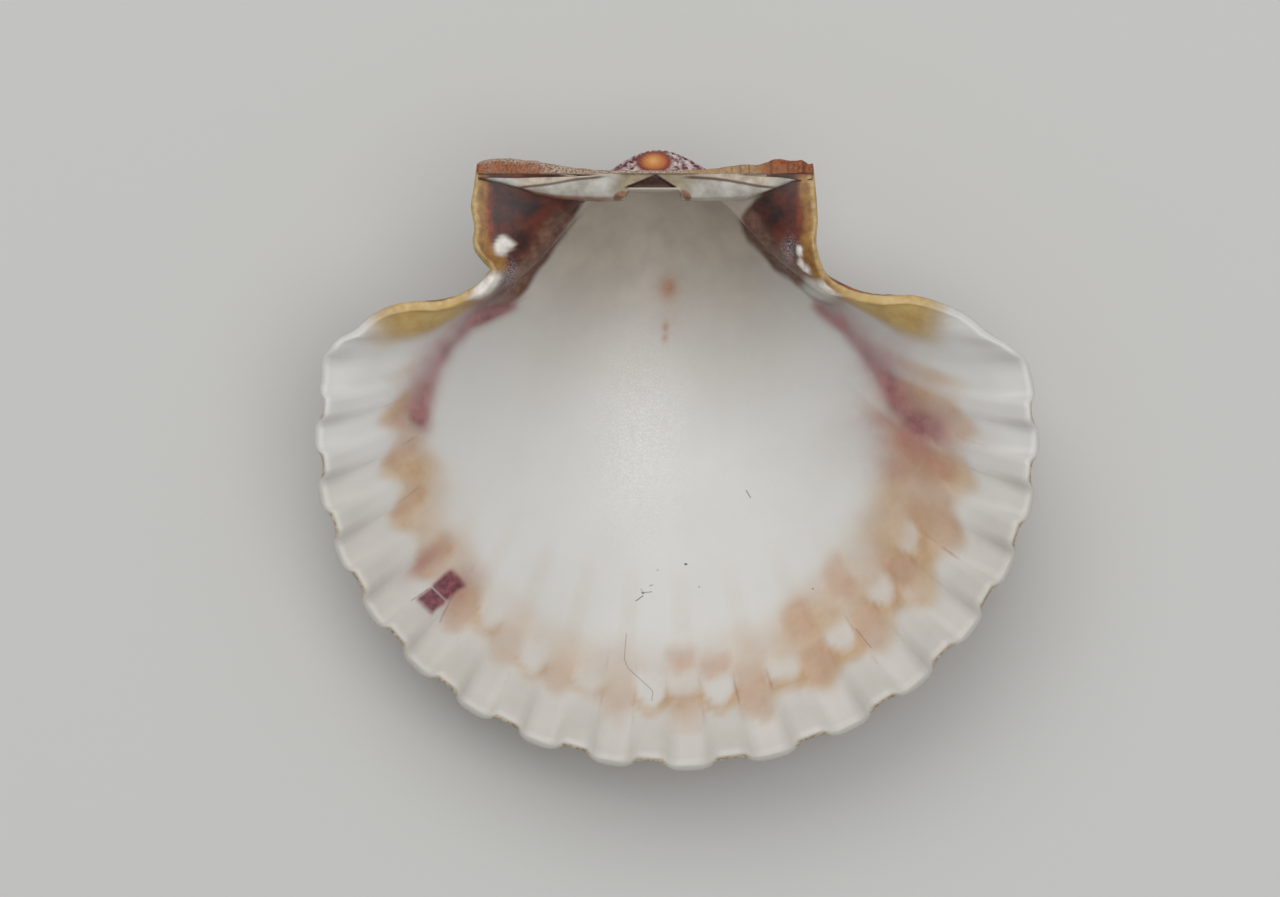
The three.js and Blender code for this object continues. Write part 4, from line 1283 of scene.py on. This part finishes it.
@dataclass(frozen=True)
class CalicoCalcite:
    """Outside of the valve: dull, weathered calcite in calico colours.

    To the eye it is a matt, finely scaled surface. The colour goes rib by rib in blocks of brick,
    orange, plum and cream that end at growth lines, and the crests are rubbed pale.
    """

    cream: str = "#d9c8ae"
    orange: str = "#b9622f"
    brick: str = "#7d3526"
    plum: str = "#5c2c38"
    rubbed: str = "#e4d9c8"
    growth_line: str = "#4a2a20"
    beak_streaks: tuple[tuple[float, str], ...] = ((0.42, "#6a2a3a"), (0.6, "#d8cbc6"))
    painted: tuple[tuple[str, str], ...] = (
        ("tip_ring", "#7d3326"), ("tip", "#b5652f"), ("tip_heart", "#d8a25e"), ("horn", "#94733f"),
        ("lip", "#d8c7a8"),
    )
    growth_lines: float = 26.0
    blocks_along: float = 15.0
    patch_mm: float = 7.0
    fleck_mm: float = 0.5
    streak_mm: float = 0.9
    roughness: float = 0.62

    def build(self) -> bpy.types.Material:
        """Colours blocks of the rib and growth values, draws growth lines and rubs the crests."""
        material = bpy.data.materials.new("calico_calcite_outside")
        material.use_nodes = True
        tree = material.node_tree
        tree.nodes.clear()
        place = add(tree, "TexCoord").outputs["Object"]
        in_mm = add(tree, "Mapping", {"vector_type": "POINT"}, {"Vector": place, "Scale": (1000, 1000, 1000)})
        place = in_mm.outputs["Vector"]

        rib = add(tree, "Attribute", {"attribute_name": "rib"}).outputs["Fac"]
        grown = add(tree, "Attribute", {"attribute_name": "growth"}).outputs["Fac"]
        noise = add(tree, "TexNoise", None,
                    {"Vector": place, "Scale": 1 / self.fleck_mm, "Detail": 5, "Roughness": 0.6})
        fleck = noise.outputs["Fac"]
        scales = add(tree, "Math", {"operation": "MULTIPLY"}, {0: grown, 1: self.growth_lines})
        torn = add(tree, "Math", {"operation": "MULTIPLY_ADD"}, {0: fleck, 1: 0.5, 2: scales.outputs[0]})
        saw = add(tree, "Math", {"operation": "FRACT"}, {0: torn.outputs[0]}).outputs[0]

        colour = self.blocks(tree, rib, grown, place)
        colour = self.rub_crests(tree, rib, fleck, colour)
        line = add(tree, "MapRange", {"interpolation_type": "SMOOTHSTEP"},
                   {"Value": saw, "From Min": 0.75, "From Max": 1.0, "To Max": 0.35})
        colour = add(tree, "Mix", {"data_type": "RGBA"},
                     {0: line.outputs[0], 6: colour, 7: linear(self.growth_line)}).outputs[2]
        colour = self.paint_tip(tree, place, colour)

        height = add(tree, "Math", {"operation": "MULTIPLY_ADD"}, {0: saw, 1: 1.2, 2: fleck})
        relief = add(tree, "Bump", None, {"Height": height.outputs[0], "Strength": 0.5, "Distance": 0.0001})
        dull = add(tree, "Math", {"operation": "MULTIPLY_ADD"}, {0: fleck, 1: 0.2, 2: self.roughness - 0.1})
        shader = add(tree, "BsdfPrincipled", None, {
            "Base Color": colour,
            "Roughness": dull.outputs[0],
            "IOR": 1.5,
            "Normal": relief.outputs["Normal"],
        })
        add(tree, "OutputMaterial", None, {"Surface": shader.outputs["BSDF"]})
        return material

    def blocks(
        self,
        tree: bpy.types.NodeTree,
        rib: bpy.types.NodeSocket,
        grown: bpy.types.NodeSocket,
        place: bpy.types.NodeSocket,
    ) -> bpy.types.NodeSocket:
        """Colour blocks: Voronoi cells on a plane of rib number and growth, each with its own colour,
        with a broad noise that makes whole neighbourhoods lighter or darker."""
        across = add(tree, "Math", {"operation": "MULTIPLY"}, {0: rib, 1: 2.0})
        along = add(tree, "Math", {"operation": "MULTIPLY"}, {0: grown, 1: self.blocks_along})
        plane = add(tree, "CombineXYZ", None, {0: across.outputs[0], 1: along.outputs[0]})
        cells = add(tree, "TexVoronoi", {"feature": "SMOOTH_F1"},
                    {"Vector": plane.outputs[0], "Scale": 0.9, "Smoothness": 0.25, "Randomness": 0.75})
        pick = add(tree, "SeparateColor", None, {0: cells.outputs["Color"]})
        broad = add(tree, "TexNoise", None,
                    {"Vector": place, "Scale": 1 / self.patch_mm, "Detail": 3, "Roughness": 0.6})
        key = add(tree, "Math", {"operation": "MULTIPLY_ADD"}, {0: broad.outputs["Fac"], 1: 0.8, 2: -0.4})
        key = add(tree, "Math", {"operation": "ADD"}, {0: pick.outputs[0], 1: key.outputs[0]})
        ramp = add(tree, "ValToRGB", None, {"Fac": key.outputs[0]})
        stops = ((0.0, self.plum), (0.22, self.brick), (0.45, self.orange), (0.66, self.brick), (0.8, self.cream))
        elements = ramp.color_ramp.elements
        while len(elements) < len(stops):
            elements.new(0.5)
        for element, (position, painted) in zip(elements, stops):
            element.position = position
            element.color = linear(painted)
        return ramp.outputs[0]

    def rub_crests(
        self,
        tree: bpy.types.NodeTree,
        rib: bpy.types.NodeSocket,
        fleck: bpy.types.NodeSocket,
        colour: bpy.types.NodeSocket,
    ) -> bpy.types.NodeSocket:
        """Rubs the crests pale, where the cosine of the rib number's turn is high, in flecks."""
        turn = add(tree, "Math", {"operation": "MULTIPLY"}, {0: rib, 1: 2 * math.pi})
        crest = add(tree, "Math", {"operation": "COSINE"}, {0: turn.outputs[0]})
        worn = add(tree, "Math", {"operation": "MULTIPLY_ADD"}, {0: fleck, 1: 1.4, 2: crest.outputs[0]})
        rub = add(tree, "MapRange", {"interpolation_type": "SMOOTHSTEP"},
                  {"Value": worn.outputs[0], "From Min": 0.95, "From Max": 1.9, "To Max": 0.75})
        return add(tree, "Mix", {"data_type": "RGBA"},
                   {0: rub.outputs[0], 6: colour, 7: linear(self.rubbed)}).outputs[2]

    def paint_tip(
        self, tree: bpy.types.NodeTree, place: bpy.types.NodeSocket, colour: bpy.types.NodeSocket
    ) -> bpy.types.NodeSocket:
        """Streaks the beak, gives it its orange tip, and colours the horn-like edges and the lip."""
        noise = add(tree, "TexNoise", None,
                    {"Vector": place, "Scale": 1 / self.streak_mm, "Detail": 4, "Roughness": 0.6})
        streaks = add(tree, "ValToRGB", None, {"Fac": noise.outputs["Fac"]})
        for element, (position, painted) in zip(streaks.color_ramp.elements, self.beak_streaks):
            element.position = position
            element.color = linear(painted)
        side = add(tree, "Attribute", {"attribute_name": "tip_side"}).outputs["Fac"]
        colour = add(tree, "Mix", {"data_type": "RGBA"}, {0: side, 6: colour, 7: streaks.outputs[0]}).outputs[2]
        for name, painted in self.painted:
            mask = add(tree, "Attribute", {"attribute_name": name}).outputs["Fac"]
            colour = add(tree, "Mix", {"data_type": "RGBA"},
                         {0: mask, 6: colour, 7: linear(painted)}).outputs[2]
        return colour


@dataclass(frozen=True)
class Studio:
    """Plain pale floor, soft light from the hinge's side and from above, and the camera."""

    floor_size: float = 1.6
    floor_colour: str = "#c9c8c4"
    camera_distance: float = 0.3
    view_width: float = 0.128
    aim: tuple[float, float] = (-1.7, -27.3)

    def build_floor(self) -> None:
        """A flat square floor with its own matt paint."""
        half = self.floor_size / 2
        corners = [(-half, -half, 0), (half, -half, 0), (half, half, 0), (-half, half, 0)]
        mesh = bpy.data.meshes.new("studio_floor")
        mesh.from_pydata(corners, [], [(0, 1, 2, 3)])
        floor = bpy.data.objects.new("studio_floor", mesh)
        bpy.context.scene.collection.objects.link(floor)
        material = bpy.data.materials.new("matt_studio_paint")
        material.use_nodes = True
        shader = material.node_tree.nodes["Principled BSDF"]
        shader.inputs["Base Color"].default_value = linear(self.floor_colour)
        shader.inputs["Roughness"].default_value = 0.8
        mesh.materials.append(material)

    def build_lights(self) -> None:
        """One wide soft light beyond the hinge, a weak one over the camera, and a pale surrounding."""
        # Standard lays no film curve over the colours of the finishes.
        bpy.context.scene.view_settings.view_transform = "Standard"
        for name, place, size, power in (
            ("window_light", (-0.2, 0.55, 0.85), 0.9, 4.1),
            ("ceiling_light", (0.2, -0.15, 0.95), 0.9, 3.8),
        ):
            lamp = bpy.data.lights.new(name, "AREA")
            lamp.shape = "DISK"
            lamp.size = size
            lamp.energy = power
            light = bpy.data.objects.new(name, lamp)
            light.location = place
            light.rotation_euler = (-Vector(place)).to_track_quat("-Z", "Y").to_euler()
            bpy.context.scene.collection.objects.link(light)
        world = bpy.data.worlds.new("studio_air")
        world.use_nodes = True
        background = world.node_tree.nodes["Background"]
        background.inputs["Color"].default_value = linear("#e6eaee")
        background.inputs["Strength"].default_value = 0.4
        bpy.context.scene.world = world

    def build_camera(self, aim: Vector, tilt: float) -> None:
        """Camera square to the margin plane, over the aim point, as the photograph was taken.

        Args:
            aim: the point in the middle of the picture, in metres.
            tilt: how far the margin plane is tipped, in degrees.
        """
        lens = bpy.data.cameras.new("camera")
        lens.sensor_width = 36
        lens.lens = 36 * self.camera_distance / self.view_width
        lens.clip_start = 0.01
        camera = bpy.data.objects.new("camera", lens)
        up = Matrix.Rotation(math.radians(tilt), 4, "X") @ Vector((0, 0, 1))
        camera.location = aim + up * self.camera_distance
        camera.rotation_euler = (-up).to_track_quat("-Z", "Y").to_euler()
        bpy.context.scene.collection.objects.link(camera)
        bpy.context.scene.camera = camera


def main() -> None:
    """Builds the valve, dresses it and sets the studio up."""
    logging.basicConfig(level=logging.INFO, format="%(name)s: %(message)s")
    valve = ScallopValve()
    inside, outside = PorcelainCalcite().build(), CalicoCalcite().build()
    for piece in valve.build():
        mesh = piece.data
        mesh.materials.append(inside)
        mesh.materials.append(outside)
        slots = np.empty(len(mesh.polygons), np.int32)
        mesh.attributes["finish"].data.foreach_get("value", slots)
        mesh.polygons.foreach_set("material_index", slots)
        mesh.polygons.foreach_set("use_smooth", np.ones(len(slots), bool))
        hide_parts("valve")
        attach(piece, "root")
        mesh.calc_loop_triangles()
        log.info("%s: %d triangles", piece.name, len(mesh.loop_triangles))

    studio = Studio()
    studio.build_floor()
    studio.build_lights()
    studio.build_camera(valve.to_world(*studio.aim, 0), valve.rest_tilt)


if __name__ == "__main__":
    main()
